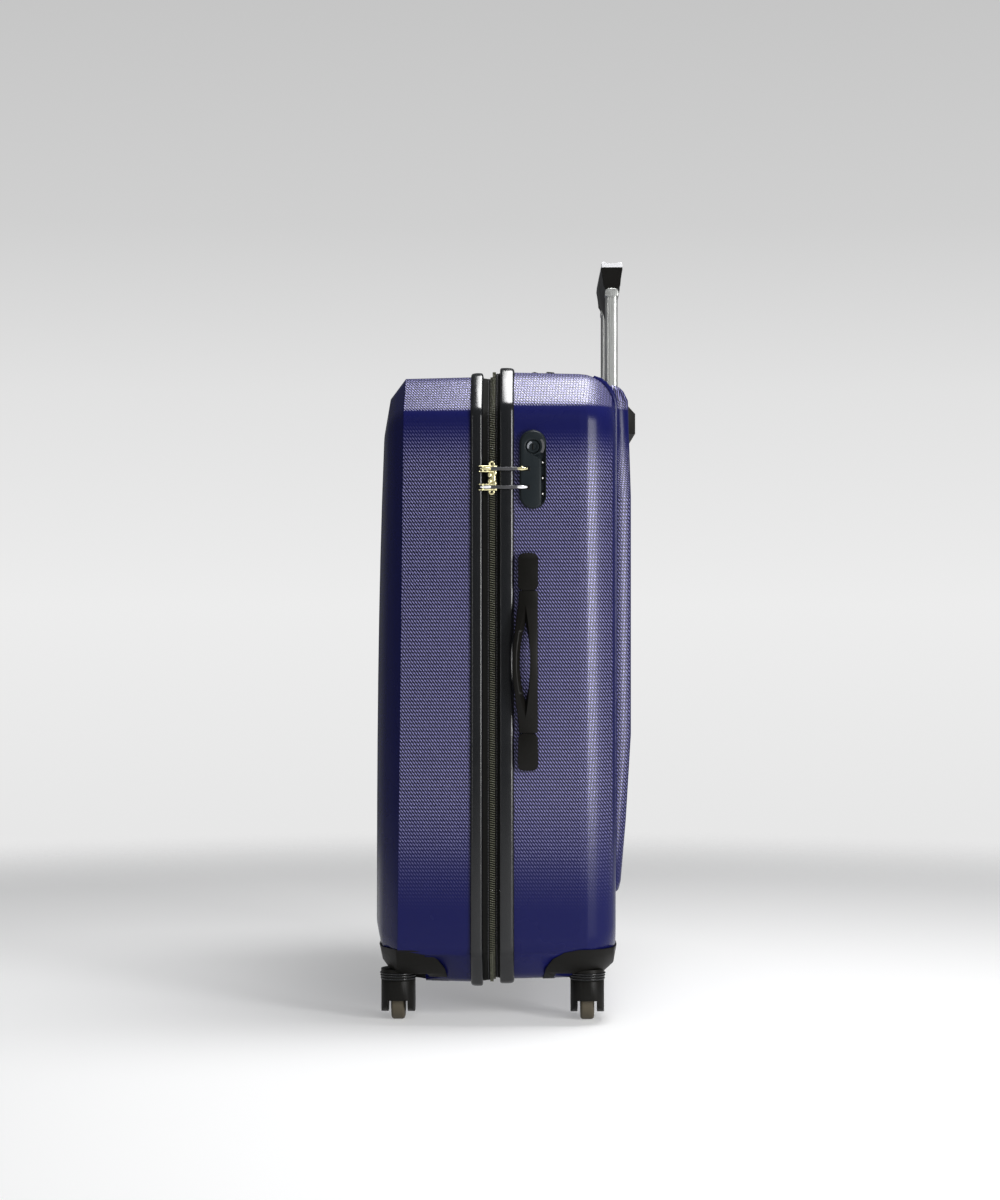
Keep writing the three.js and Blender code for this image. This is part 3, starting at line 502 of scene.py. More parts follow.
def dash_pattern(f, u, v, pitch):
    """Short raised dashes that lean to the right, in staggered rows, from 0 to 1."""
    lean = f.maths("SUBTRACT", f.maths("MULTIPLY", u, 2 * math.pi / pitch),
                   f.maths("MULTIPLY", v, 4.4 / pitch))
    rows = f.maths("MULTIPLY", v, 2 * math.pi / (pitch * 1.3))
    waves = f.maths("ADD", f.maths("SINE", lean), f.maths("MULTIPLY", f.maths("SINE", rows), 0.55))
    return f.ramp(waves, 0.1, 1.0)


def shell_finish(name, colours, half, smooth_band):
    """Moulded shell plastic: a fine embossed weave on the marked faces, which fades out near the bottom
    and in a smooth band under the top chamfer. The raised dashes are painted pale lavender, a painted
    sheen, and the hollows between them are painted darker, a painted shade. The fade near the bottom
    and under the top chamfer is partly a smoother surface and partly painted shade, since the painted
    sheen fades with it."""
    sizes = bpy.context.scene.suitcase_shell
    f = Finish(name, IOR=1.5)
    spot = f.add("SeparateXYZ", {0: f.point()})
    height = f.maths("DIVIDE", spot.outputs["Z"], MM)
    chamfer = half.top - sizes.top_chamfer / MM
    # painted shade: the weave's bump and its painted sheen fade out towards the bottom and in a band
    # under the top chamfer, leaving those parts darker
    lower = f.ramp(height, 125.0, 300.0)
    band_low = f.ramp(height, chamfer - smooth_band - 60, chamfer - smooth_band, 1.0, 0.0)
    band_high = f.ramp(height, chamfer + 1, chamfer + 5)
    marked = f.add("Attribute", attribute_name="emboss").outputs["Fac"]
    mask = f.maths("MULTIPLY", marked, f.maths("MULTIPLY", lower,
                   f.maths("MAXIMUM", band_low, band_high)))
    flat = f.add("SeparateXYZ", {0: f.uv("Weave")})
    weave = dash_pattern(f, flat.outputs["X"], flat.outputs["Y"], sizes.weave_pitch)
    raised = f.maths("MULTIPLY", weave, mask)
    tone = f.mix(f.noise(6.0, 2.0), rgb(colours.shell, 0.94), rgb(colours.shell, 1.06))
    # painted shade: the hollows between the raised dashes are painted at a third of the shell colour
    painted_valley_shade = f.mix(f.maths("SUBTRACT", mask, raised), tone, rgb(colours.shell, 0.3))
    # painted sheen: the raised dashes are painted the pale lavender weave colour in place of their
    # glossy highlights
    f.feed("Base Color", f.mix(raised, painted_valley_shade, rgb(colours.painted_weave_sheen)))
    f.feed("Metallic", f.maths("MULTIPLY", raised, 0.3))
    f.feed("Specular IOR Level", f.maths("ADD", f.maths("MULTIPLY", mask, 0.35), 0.14))
    worn = f.noise(14.0, 3.0)
    f.feed("Roughness", f.maths("ADD", f.maths("MULTIPLY", mask, 0.12),
                                f.ramp(worn, 0.3, 0.75, 0.25, 0.29)))
    f.bump(f.noise(700.0, 2.0), 0.006, 0.4)
    f.bump(raised, sizes.weave_depth / MM)
    return f.material


def plastic_finish(name, colour, roughness, grain=0.02, grain_scale=900.0, coat=0.0,
                   shine=0.14):
    """Moulded plastic with a fine grain, slight cloudiness and rubbed patches."""
    f = Finish(name, IOR=1.48, Coat_Weight=coat, Coat_Roughness=0.12, Specular_IOR_Level=shine)
    cloud = f.noise(24.0, 3.0)
    f.feed("Base Color", f.mix(cloud, rgb(colour, 0.88), rgb(colour, 1.14)))
    f.feed("Roughness", f.ramp(f.noise(40.0, 3.0), 0.3, 0.72, roughness - 0.02, roughness + 0.03))
    f.bump(f.noise(grain_scale, 3.0), grain)
    return f.material


def metal_finish(name, colour, roughness, stretch=(1, 1, 1), scale=300.0, depth=0.01,
                 metallic=1.0, anisotropy=0.0):
    """Metal with brush lines or fine wear; stretch sets the way the lines run."""
    f = Finish(name, Metallic=metallic, Anisotropic=anisotropy)
    lines = f.noise(scale, 5.0, stretch, 0.65)
    f.feed("Base Color", f.mix(lines, rgb(colour, 0.84), rgb(colour, 1.08)))
    f.feed("Roughness", f.ramp(lines, 0.25, 0.8, roughness - 0.04, roughness + 0.1))
    f.bump(lines, depth)
    return f.material


def cloth_finish(name, colour, thread, sheen=0.4, along="Y", across="Z", depth=0.08,
                 crease=0.0):
    """Plain woven cloth; thread is the spacing in millimetres of its yarns."""
    f = Finish(name, Roughness=0.88, Sheen_Weight=sheen, Sheen_Roughness=0.4, IOR=1.4)
    spot = f.add("SeparateXYZ", {0: f.point()})
    rate = 2 * math.pi / (thread * MM)
    warp = f.maths("SINE", f.maths("MULTIPLY", spot.outputs[along], rate))
    weft = f.maths("SINE", f.maths("MULTIPLY", spot.outputs[across], rate))
    third = f.maths("SINE", f.maths("MULTIPLY", spot.outputs["X"], rate))
    weave = f.maths("ADD", 0.5, f.maths("MULTIPLY", 0.25, f.maths(
        "ADD", f.maths("MULTIPLY", warp, weft), f.maths("MULTIPLY", third, warp))))
    tone = f.mix(f.noise(22.0, 4.0), rgb(colour, 0.8), rgb(colour, 1.2))
    f.feed("Base Color", f.mix(weave, tone, rgb(colour, 1.9)))
    if crease:
        f.bump(f.noise(14.0, 4.0), crease)
    f.bump(weave, depth)
    return f.material


def web_finish(name, colour):
    """Ribbed woven strap."""
    f = Finish(name, Roughness=0.75, Sheen_Weight=0.3, IOR=1.4)
    spot = f.add("SeparateXYZ", {0: f.point()})
    rate = 2 * math.pi / (1.6 * MM)
    rib = f.maths("SINE", f.maths("MULTIPLY", f.maths(
        "ADD", spot.outputs["Y"], spot.outputs["Z"]), rate))
    cross = f.maths("SINE", f.maths("MULTIPLY", f.maths(
        "SUBTRACT", spot.outputs["Y"], spot.outputs["Z"]), rate))
    weave = f.ramp(f.maths("MULTIPLY", rib, cross), -0.7, 0.7)
    f.feed("Base Color", f.mix(weave, rgb(colour, 0.6), rgb(colour, 1.8)))
    f.bump(weave, 0.15)
    return f.material


def tape_finish(name, colour):
    """Zipper tape: ribbed cloth whose ribs run along it, with a herringbone of fine yarns."""
    f = Finish(name, Roughness=0.85, IOR=1.4, Specular_IOR_Level=0.2)
    spot = f.add("SeparateXYZ", {0: f.point()})
    ribs = f.maths("SINE", f.maths("MULTIPLY", spot.outputs["X"], 2 * math.pi / (1.5 * MM)))
    yarns = f.maths("SINE", f.maths("MULTIPLY", f.maths(
        "ADD", spot.outputs["Y"], spot.outputs["Z"]), 2 * math.pi / (1.1 * MM)))
    weave = f.ramp(f.maths("ADD", ribs, f.maths("MULTIPLY", yarns, 0.6)), -1.2, 1.2)
    f.feed("Base Color", f.mix(weave, rgb(colour, 0.5), rgb(colour, 2.2)))
    f.bump(weave, 0.18)
    return f.material


_made = {}


def finishes():
    """The suitcase's materials by name, made once."""
    if _made:
        return _made
    colours = bpy.context.scene.suitcase_colours
    _made.update({
        "rear shell": shell_finish("Rear shell plastic", colours, REAR, 22.0),
        "front shell": shell_finish("Front shell plastic", colours, FRONT, 7.0),
        "trim": plastic_finish("Glossy trim", colours.trim, 0.22, 0.002, 300.0, shine=0.5),
        "moulded": plastic_finish("Moulded black", colours.moulded, 0.46, 0.03, 1400.0),
        "grip": plastic_finish("Grip rubber", colours.moulded, 0.4, 0.03, 1800.0),
        "lock": plastic_finish("Lock satin", colours.lock, 0.36, 0.015, 1200.0),
        "dial": plastic_finish("Dial black", (0.002, 0.002, 0.002), 0.4, 0.01),
        "mark": plastic_finish("Dial mark", (0.85, 0.85, 0.83), 0.35, 0.01),
        # painted highlights: pale grey crescents on the lock that stand in for light on the key recess
        # and the shoulder
        "satin": plastic_finish("Key recess", (0.2, 0.21, 0.23), 0.25, 0.005, shine=0.6),
        "shoulder painted highlight": plastic_finish("Handle groove", (0.075, 0.075, 0.078), 0.25, 0.008),
        "tape": tape_finish("Zipper tape", colours.tape),
        "teeth": plastic_finish("Zipper coil", (0.075, 0.076, 0.052), 0.25, 0.01, shine=0.5),
        "stitch": cloth_finish("Sewing thread", (0.035, 0.035, 0.04), 0.5, 0.3),
        "lining": cloth_finish("Lining cloth", colours.lining, 0.8, 0.5, crease=1.6),
        "net": cloth_finish("Pocket cloth", (0.05, 0.053, 0.07), 1.3, 0.4, crease=0.8),
        "webbing": web_finish("Strap webbing", (0.013, 0.013, 0.016)),
        "aluminium": metal_finish("Brushed aluminium", (0.5, 0.51, 0.49), 0.26,
                                  (1, 1, 0.01), 900.0, 0.012, metallic=0.7, anisotropy=0.4),
        # painted reflection: a near-white colour with low metallic, whose diffuse part lights up white
        # in place of chrome's reflection of a bright room
        "chrome": metal_finish("Polished chrome", (0.88, 0.88, 0.9), 0.1, scale=40.0,
                               depth=0.004, metallic=0.35),
        "gold": metal_finish("Pale gold plate", (0.85, 0.78, 0.46), 0.16, scale=220.0,
                             metallic=0.7),
        "steel": metal_finish("Turned steel", (0.55, 0.56, 0.57), 0.28, scale=260.0),
        "gunmetal": metal_finish("Gunmetal", (0.11, 0.11, 0.115), 0.34, scale=260.0,
                                 metallic=0.7),
        "tyre": plastic_finish("Wheel tyre", colours.tyre, 0.6, 0.06, 700.0),
        "hub": plastic_finish("Wheel hub", (0.03, 0.03, 0.03), 0.42, 0.02),
    })
    return _made


# ---------------------------------------------------------------- sizes and colours


def size(name, description, default):
    return bpy.props.FloatProperty(
        name=name, description=description, default=default * MM, unit="LENGTH", precision=4,
    )


def colour(name, description, default):
    return bpy.props.FloatVectorProperty(
        name=name, description=description, default=default, subtype="COLOR", size=3,
        min=0.0, max=1.0,
    )


class SuitcaseShellSizes(bpy.types.PropertyGroup):
    """Sizes of the two shell halves"""

    top_chamfer: size("Top chamfer", "Slope at the top corners", 45)
    bottom_chamfer: size("Bottom chamfer", "Slope at the bottom corners", 40)
    corner_ease: size("Corner easing", "Length taken off each side of an outline corner", 15)
    wall: size("Wall", "Thickness of the moulded shell", 3)
    edge_setback: size("Front edge setback", "Side face to the front, at the bottom", 27)
    edge_lean: size("Front edge lean", "More setback of the side face at the top", 8)
    strip_depth: size("Front strip depth", "Depth of the sloping strip round the front", 18)
    strip_inset: size("Front strip inset", "Where the sloping strip ends", 25)
    face_inset: size("Front face inset", "Where the front face starts", 65)
    face_lean: size("Front face lean", "How far the front face falls back at the top", 12)
    bend_depth: size("Rear bend depth", "Depth of the round bend of the rear half", 43)
    bend_inset: size("Rear bend inset", "Where the bend reaches the back", 42)
    panel_raise: size("Panel raise", "Raised back panel above the back", 19)
    panel_margin: size("Panel margin", "Case side to the raised panel", 63)
    weave_pitch: size("Weave pitch", "Spacing of the embossed weave", 3.3)
    weave_depth: size("Weave depth", "Height of the embossed weave", 0.34)


class SuitcaseDetailSizes(bpy.types.PropertyGroup):
    """Sizes of the small pieces"""

    trim_proud: size("Trim height", "Trim above the shell", 4)
    tooth_pitch: size("Tooth pitch", "Spacing of the zipper teeth", 2.6)
    stitch_length: size("Stitch length", "Length of one stitch", 3)
    tyre_round: size("Tyre rounding", "Rounding of the tyre's shoulders", 3.4)
    lining_fold: size("Lining folds", "Height of the lining's soft folds", 1.6)
    strap_width: size("Strap width", "Width of the packing straps", 30)


class SuitcaseColours(bpy.types.PropertyGroup):
    """Colours of the suitcase"""

    shell: colour("Shell", "Colour of the shell plastic", (0.0055, 0.0065, 0.056))
    # painted sheen: this pale lavender on the raised weave stands in for its glossy highlights
    painted_weave_sheen: colour("Shell weave", "Colour of the raised weave", (0.21, 0.2, 0.42))
    trim: colour("Trim", "Colour of the trim strips", (0.006, 0.0065, 0.0075))
    moulded: colour("Moulded parts", "Colour of handles and housings", (0.0045, 0.0042, 0.0035))
    lock: colour("Lock", "Colour of the lock body", (0.011, 0.0145, 0.0165))
    tape: colour("Zipper tape", "Colour of the zipper tape", (0.003, 0.003, 0.0027))
    lining: colour("Lining", "Colour of the inner cloth", (0.085, 0.09, 0.115))
    tyre: colour("Tyre", "Colour of the wheel tyres", (0.075, 0.064, 0.046))


class SuitcaseStageSettings(bpy.types.PropertyGroup):
    """Camera and lights"""

    camera_distance: bpy.props.FloatProperty(
        name="Camera distance", description="Lens to the near side face", default=3.0,
        unit="LENGTH")
    lens: bpy.props.FloatProperty(
        name="Lens", description="Focal length in millimetres", default=78.27, min=10.0)
    overhead: bpy.props.FloatProperty(
        name="Overhead light", description="Power of the light above", default=25.0,
        unit="POWER")
    side: bpy.props.FloatProperty(
        name="Side light", description="Power of the tall light at the back's side",
        default=40.0, unit="POWER")
    fill: bpy.props.FloatProperty(
        name="Fill light", description="Power of the wide light in front", default=42.0,
        unit="POWER")
    strip: bpy.props.FloatProperty(
        name="Strip light", description="Power of the narrow light at the front's side",
        default=5.0, unit="POWER")
    ambient: bpy.props.FloatProperty(
        name="Ambient", description="Brightness of the room round the case", default=0.16)
    floor_glow: bpy.props.FloatProperty(
        name="Floor glow", description="Brightness added to the floor", default=0.3)


# ---------------------------------------------------------------- stage


def area_light(name, place_at, target, width, height, power, tint=(1, 1, 1)):
    data = bpy.data.lights.new(name, "AREA")
    data.shape = "RECTANGLE"
    data.size, data.size_y, data.energy, data.color = width, height, power, tint
    made = bpy.data.objects.new(name, data)
    bpy.context.scene.collection.objects.link(made)
    made.location = place_at
    made.rotation_euler = (Vector(target) - Vector(place_at)).to_track_quat("-Z", "Y").to_euler()
    return made


class SUITCASE_OT_stage(bpy.types.Operator):
    """Make the camera, the lights and the floor"""

    bl_idname = "suitcase.stage"
    bl_label = "Stage"

    def execute(self, context):
        settings = context.scene.suitcase_stage
        near = REAR_LOW.y * MM + ORIGIN.y
        camera_data = bpy.data.cameras.new("Camera")
        camera_data.lens = settings.lens
        camera = bpy.data.objects.new("Camera", camera_data)
        context.scene.collection.objects.link(camera)
        camera.location = (0.033, near - settings.camera_distance, 0.491)
        camera.rotation_euler = (math.radians(90), 0, math.radians(0.77))
        context.scene.camera = camera

        bm = bmesh.new()
        bmesh.ops.create_grid(bm, x_segments=8, y_segments=8, size=14.0)
        mesh = bpy.data.meshes.new("Floor")
        bm.to_mesh(mesh)
        bm.free()
        floor = bpy.data.objects.new("Floor", mesh)
        context.scene.collection.objects.link(floor)
        f = Finish("Pale floor", Roughness=0.7, Specular_IOR_Level=0.1,
                   Base_Color=(0.62, 0.62, 0.62, 1), Emission_Color=(1, 1, 1, 1),
                   Emission_Strength=settings.floor_glow)
        distance = f.add("VectorMath", {0: f.point()}, operation="LENGTH").outputs["Value"]
        f.feed("Alpha", f.ramp(distance, 1.35, 2.35, 1.0, 0.0))
        mesh.materials.append(f.material)

        world = bpy.data.worlds.new("Studio")
        context.scene.world = world
        world.use_nodes = True
        tree = world.node_tree
        background = tree.nodes["Background"]
        coordinate = tree.nodes.new("ShaderNodeTexCoord")
        spread = tree.nodes.new("ShaderNodeSeparateXYZ")
        tree.links.new(coordinate.outputs["Generated"], spread.inputs[0])
        height = tree.nodes.new("ShaderNodeMapRange")
        height.inputs["From Min"].default_value = -0.2
        height.inputs["From Max"].default_value = 0.25
        tree.links.new(spread.outputs["Z"], height.inputs["Value"])
        fade = tree.nodes.new("ShaderNodeValToRGB")
        while len(fade.color_ramp.elements) < 6:
            fade.color_ramp.elements.new(0.5)
        tones = ((0.0, 0.86), (0.25, 0.8), (0.44, 0.845), (0.62, 0.76), (0.76, 0.63), (1.0, 0.54))
        for element, (position, tone) in zip(fade.color_ramp.elements, tones):
            element.position = position
            element.color = (tone, tone, tone, 1)
        tree.links.new(height.outputs[0], fade.inputs[0])
        dim = tree.nodes.new("ShaderNodeBackground")
        dim.inputs["Color"].default_value = (0.95, 0.97, 1.0, 1)
        dim.inputs["Strength"].default_value = settings.ambient
        tree.links.new(fade.outputs["Color"], background.inputs["Color"])
        path = tree.nodes.new("ShaderNodeLightPath")
        blend = tree.nodes.new("ShaderNodeMixShader")
        tree.links.new(path.outputs["Is Camera Ray"], blend.inputs[0])
        tree.links.new(dim.outputs[0], blend.inputs[1])
        tree.links.new(background.outputs[0], blend.inputs[2])
        tree.links.new(blend.outputs[0], tree.nodes["World Output"].inputs["Surface"])
        context.scene.view_settings.view_transform = "Standard"

        area_light("Overhead", (0.3, -0.12, 1.75), (0.16, -0.2, 0.7), 0.5, 0.7,
                   settings.overhead)
        area_light("Rear side", (1.45, -1.75, 0.62), (0.1, -0.2, 0.5), 0.55, 1.15,
                   settings.side)
        strip = area_light("Front strip", (-1.9, -2.2, 0.6), (0.0, -0.2, 0.45), 0.12, 1.3,
                           settings.strip)
        strip.visible_diffuse = False
        fill = area_light("Front fill", (0.5, -3.4, 1.9), (0, 0, 0.45), 2.2, 1.4, settings.fill)
        fill.visible_glossy = False
        return {"FINISHED"}


# ---------------------------------------------------------------- shells


def open_housing_corners(bm, half):
    """Opens the bottom corners of a half behind its wheel housings."""
    for end, name in ((-1, "near"), (1, "far")):
        node = f"{half.name}_wheel_housing_{name}"
        low, high = box_mm(node)
        solid = copied(node)
        tree = BVHTree.FromBMesh(solid)
        solid.free()
        inner = min(abs(low.x), abs(high.x))
        outer = max(abs(low.x), abs(high.x))
        edge = min(abs(low.y), abs(high.y)) + 2
        wall = max(abs(low.y), abs(high.y)) - 1.2
        for k in range(24):
            reach = inner + 2 + (outer - inner - 2) * k / 24
            hit = tree.ray_cast(place(half.side * reach, end * wall, 200), (0, 0, -1))[0]
            if hit is None:
                continue
            height = (hit.z - ORIGIN.z) / MM - 2.5
            if height < half.bottom + 2:
                continue
            x = half.side * (reach + 1)
            lows = (x if half.side > 0 else -400, edge if end > 0 else -400, 0)
            highs = (400 if half.side > 0 else x, 400 if end > 0 else -edge, height)
            cut_box(bm, lows, highs)


class SUITCASE_OT_shells(bpy.types.Operator):
    """Make the two moulded shell halves and the raised back panel"""

    bl_idname = "suitcase.shells"
    bl_label = "Shells"

    def execute(self, context):
        sizes = context.scene.suitcase_shell
        mouth_gap = 2.3

        # front half
        def rise(z):
            return min(max((z - FRONT.bottom) / (FRONT.top - FRONT.bottom), 0.0), 1.0)

        def edge(z):
            return FRONT.depth - (sizes.edge_setback + sizes.edge_lean * rise(z)) / MM

        def face(z):
            return FRONT.depth - sizes.face_lean / MM * rise(z) ** 3

        ease = 10.0
        bm = bmesh.new()
        face_inset = sizes.face_inset / MM
        rings = [
            (0.0, lambda z: FRONT.zipper + mouth_gap),
            (0.03, lambda z: FRONT.zipper + mouth_gap + 2), (1.93, lambda z: edge(z) - 4),
            (2.0, edge),
            (sizes.strip_inset / MM, lambda z: edge(z) + sizes.strip_depth / MM),
            (face_inset, face), (face_inset + 14, face),
            (face_inset + 16, lambda z: face(z) - 1.4), (face_inset + 21, lambda z: face(z) - 1.4),
            (face_inset + 23, face),
        ]
        loops = [
            new_loop(bm, outline_ring(FRONT, inset, reach, ease, uprights=8))
            for inset, reach in rings
        ]
        skin(bm, loops)
        cap(bm, loops[-1])
        heights = sorted({round(v.co.z, 5) for e in loops[-1] for v in e.verts})
        for z in heights[1:-1]:
            if min(z - heights[0], heights[-1] - z) > 0.15:
                bmesh.ops.bisect_plane(
                    bm, geom=bm.verts[:] + bm.edges[:] + bm.faces[:], dist=1e-6,
                    plane_co=(0, 0, z), plane_no=(0, 0, 1),
                )
        bmesh.ops.recalc_face_normals(bm, faces=bm.faces[:])
        open_housing_corners(bm, FRONT)
        bevel(bm, angled_edges(bm, 40, 70), 2.2, 4)
        lay_weave(bm, FRONT)
        inner_face = CASE_SIDE - face_inset - 22
        mark_faces(bm, "emboss", lambda f: abs(f.normal.x) < 0.2 or (
            abs(f.normal.x) > 0.9 and abs(f.calc_center_median().y - ORIGIN.y) < inner_face * MM
            and FRONT.bottom + face_inset + 22 < f.calc_center_median().z / MM
            < FRONT.top - face_inset - 22))
        thicken(piece("front_shell_skin", bm, "front_case", "front shell",
                      ["front_shell"], sharp=60), sizes.wall / MM, even=False)

        # rear half
        back = REAR.depth - sizes.panel_raise / MM
        bend, inset_end = sizes.bend_depth / MM, sizes.bend_inset / MM
        bm = bmesh.new()
        rings = [(0.0, REAR.zipper + mouth_gap), (0.03, REAR.zipper + mouth_gap + 2),
                 (1.93, back - bend - 4), (2.0, back - bend)]
        for step in range(1, 8):
            angle = math.radians(90 * step / 7)
            rings.append((
                inset_end - (inset_end - 2) * math.cos(angle),
                back - bend + bend * math.sin(angle),
            ))
        loops = [new_loop(bm, outline_ring(REAR, inset, reach)) for inset, reach in rings]
        skin(bm, loops)
        cap(bm, loops[-1])
        bmesh.ops.recalc_face_normals(bm, faces=bm.faces[:])
        open_housing_corners(bm, REAR)
        cup_low, cup_high = box_mm("trolley_cup")
        cup_cut = ((cup_low.x - 0.3, cup_low.y - 0.3, cup_low.z - 0.3),
                   (400, cup_high.y + 0.3, 900))
        cut_box(bm, *cup_cut)
        lay_weave(bm, REAR)
        mark_faces(bm, "emboss", lambda f: abs(f.normal.x) < 0.88 or abs(f.normal.x) > 0.998)
        thicken(piece("rear_shell_skin", bm, "root", "rear shell",
                      ["rear_shell"], sharp=60), sizes.wall / MM)

        # raised back panel
        base = CASE_SIDE - sizes.panel_margin / MM
        top, low = REAR.top - 15, REAR.bottom + 100
        raised = sizes.panel_raise / MM
        root = back - 5
        profile = [
            (root, top), (back + raised - 15, top), (back + raised - 9, top - 6),
            (back + raised - 3.5, top - 17), (back + raised, top - 130),
            (back + raised, low + 185), (back + raised - 6, low + 84),
            (back + raised - 12, low + 12), (back + raised - 15, low), (root, low),
        ]
        bm = bmesh.new()
        columns = []
        for y, edge_row in ((-base, True), (-base + 10, False), (base - 10, False), (base, True)):
            columns.append(new_loop(
                bm, [(root if edge_row else x, y, z) for x, z in profile], closed=False))
        skin(bm, columns)
        bmesh.ops.remove_doubles(bm, verts=bm.verts[:], dist=1e-6)
        bmesh.ops.recalc_face_normals(bm, faces=bm.faces[:])
        if sum(f.normal.x * f.calc_area() for f in bm.faces) < 0:
            bmesh.ops.reverse_faces(bm, faces=bm.faces[:])
        bevel(bm, [e for e in angled_edges(bm, 30) if min(v.co.x for v in e.verts)
                   > place(root + 0.5, 0, 0).x], 5.0, 4)
        cut_box(bm, *cup_cut)
        lay_weave(bm, REAR)
        mark_faces(bm, "emboss", lambda f: f.normal.x > 0.97 or abs(f.normal.y) > 0.5)
        panel = piece("back_panel_skin", bm, "root", "rear shell", sharp=60,
                      recalc=False)
        thicken(panel, sizes.wall / MM)

        # slim ribs beside the raised panel
        for end, name in ((-1, "near"), (1, "far")):
            y = end * (base + 9)
            path = [(back, low + 6), (back, REAR.top - inset_end)]
            for step in range(1, 7):
                angle = math.radians(90 - 11 * step)
                path.append((
                    back - bend + bend * math.sin(angle),
                    REAR.top - inset_end + (inset_end - 2) * math.cos(angle),
                ))
            bm = bmesh.new()
            loops = []
            for i, (x, z) in enumerate(path):
                ahead = Vector(path[min(i + 1, len(path) - 1)]) - Vector(path[max(i - 1, 0)])
                out = Vector((ahead.y, -ahead.x)).normalized()
                lift = 2.7 if 0 < i < len(path) - 1 else 1.2
                section = [(-2.2, -1.5), (-1.9, lift - 0.7), (-1.2, lift), (1.2, lift),
                           (1.9, lift - 0.7), (2.2, -1.5)]
                loops.append(new_loop(bm, [
                    (x + out.x * h, y + w, z + out.y * h) for w, h in section]))
            skin(bm, loops)
            cap(bm, loops[0])
            cap(bm, loops[-1])
            lay_weave(bm, REAR)
            mark_faces(bm, "emboss", lambda f: False)
            piece(f"back_rib_{name}", bm, "root", "rear shell", sharp=60)
        return {"FINISHED"}


# ---------------------------------------------------------------- trims, zipper and hinge


class SUITCASE_OT_trims(bpy.types.Operator):
    """Make the glossy strips that frame the zipper"""

    bl_idname = "suitcase.trims"
    bl_label = "Trims"

    def execute(self, context):
        proud = context.scene.suitcase_detail.trim_proud / MM
        for half in (REAR, FRONT):
            low, high = box_mm(f"{half.name}_trim")
            a, b = sorted((abs(low.x), abs(high.x)))
            profile = [
                (a, 5.0), (a, 1.6 - proud), (a + 0.4, 0.7 - proud), (a + 1.5, -proud),
                (a + 3.0, -proud - 0.2), ((a + b) / 2, -proud - 0.3), (b - 3.6, -proud + 0.1),
                (b - 1.6, 0.7 - proud), (b - 0.5, 1.9 - proud), (b, -0.25), (a + 2.1, -0.25),
                (a + 2.1, 5.0),
            ]
            bm = bmesh.new()
            sweep_outline(bm, half, profile, ease=7.0)
            piece(f"{half.name}_trim_strip", bm, half.body, "trim",
                  [f"{half.name}_trim"], sharp=50)
        return {"FINISHED"}


def along_outline(half, inset, pitch, skip):
    """Evenly spaced points round a half with their directions, outside a skipped range of
    heights on the hinge side."""
    girth = Girth(half, inset, 7.0)
    count = int(girth.total / pitch)
    for i in range(count):
        (y, z), direction = girth.point(i * girth.total / count)
        if y > CASE_SIDE - 12 and skip[0] < z < skip[1]:
            continue
        yield i, y, z, direction


class SUITCASE_OT_zipper(bpy.types.Operator):
    """Make the zipper's tapes, coil teeth and stitches, and the cloth hinge"""

    bl_idname = "suitcase.zipper"
    bl_label = "Zipper and hinge"

    def execute(self, context):
        sizes = context.scene.suitcase_detail
        hinge_low, hinge_high = box_mm("rear_hinge_strip")
        skip = (hinge_low.z, hinge_high.z)
        for half in (REAR, FRONT):
            bm = bmesh.new()
            sweep_outline(bm, half, [
                (0.5, 1.9), (2.2, 2.0), (3.6, 2.6), (6.2, 2.3), (half.zipper - 0.3, 1.6),
                (half.zipper - 0.3, 3.2), (6.2, 3.5), (0.5, 3.3),
            ], ease=7.0)
            cut_box(bm, (-20, CASE_SIDE - 20, skip[0]), (20, CASE_SIDE + 20, skip[1]))
            bmesh.ops.holes_fill(bm, edges=[e for e in bm.edges if e.is_boundary], sides=0)
            piece(f"{half.name}_tape", bm, half.body, "tape",
                  [f"{half.name}_zipper_tape"], sharp=50)

            bm = bmesh.new()
            for i, y, z, direction in along_outline(half, 1.0, sizes.tooth_pitch / MM, skip):
                tilt = 0.28 * half.side
                inner, outer = -0.5 * half.side, 3.1 * half.side
                shift = 0.25 * sizes.tooth_pitch / MM * half.side
                dy, dz = direction * shift
                ty, tz = direction * tilt
                rod(bm, (inner, y + dy - ty, z + dz - tz), (outer, y + dy + ty, z + dz + tz),
                    0.55, segments=7)
            piece(f"{half.name}_coil", bm, half.body, "teeth",
                  [f"{half.name}_zipper_teeth"], sharp=80)

            bm = bmesh.new()
            reach = 4.9 * half.side
            length = sizes.stitch_length / MM
            for i, y, z, direction in along_outline(half, 2.15, length * 1.25, skip):
                dy, dz = direction * length / 2
                rod(bm, (reach, y - dy, z - dz), (reach, y + dy, z + dz), 0.28, segments=5)
            piece(f"{half.name}_tape_stitches", bm, half.body, "stitch", sharp=80)

        # cloth hinge that joins the halves on the far side
        outer = hinge_high.y
        reach = REAR.zipper - 0.3
        front_reach = FRONT.zipper - 0.3
        bm = bmesh.new()
        columns = []
        section = [-front_reach, -8.0, -6.0, -4.0, -2.0, -0.8, 0.0, 0.8, 2.0, 4.0, 6.0, reach]
        for x in section:
            bulge = 0.5 * math.cos(math.pi / 2 * x / (reach if x > 0 else front_reach))
            columns.append(new_loop(bm, [
                (x, outer + bulge - 1.4, hinge_low.z + (hinge_high.z - hinge_low.z) * k / 40)
                for k in range(41)
            ], closed=False))
        skin(bm, columns)
        bmesh.ops.solidify(bm, geom=bm.faces[:], thickness=-1.6 * MM)
        hinge = piece("hinge_cloth", bm, "root", "tape",
                      ["rear_hinge_strip", "front_hinge_strip"], sharp=70)
        hinge.parent = None
        del hinge["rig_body"]
        middle = (hinge_low.z + hinge_high.z) / 2
        place(-4.0, outer, middle)
        place(4.0, outer, middle)
        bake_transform(hinge)
        return {"FINISHED"}


# ---------------------------------------------------------------- lock, sliders and pulls


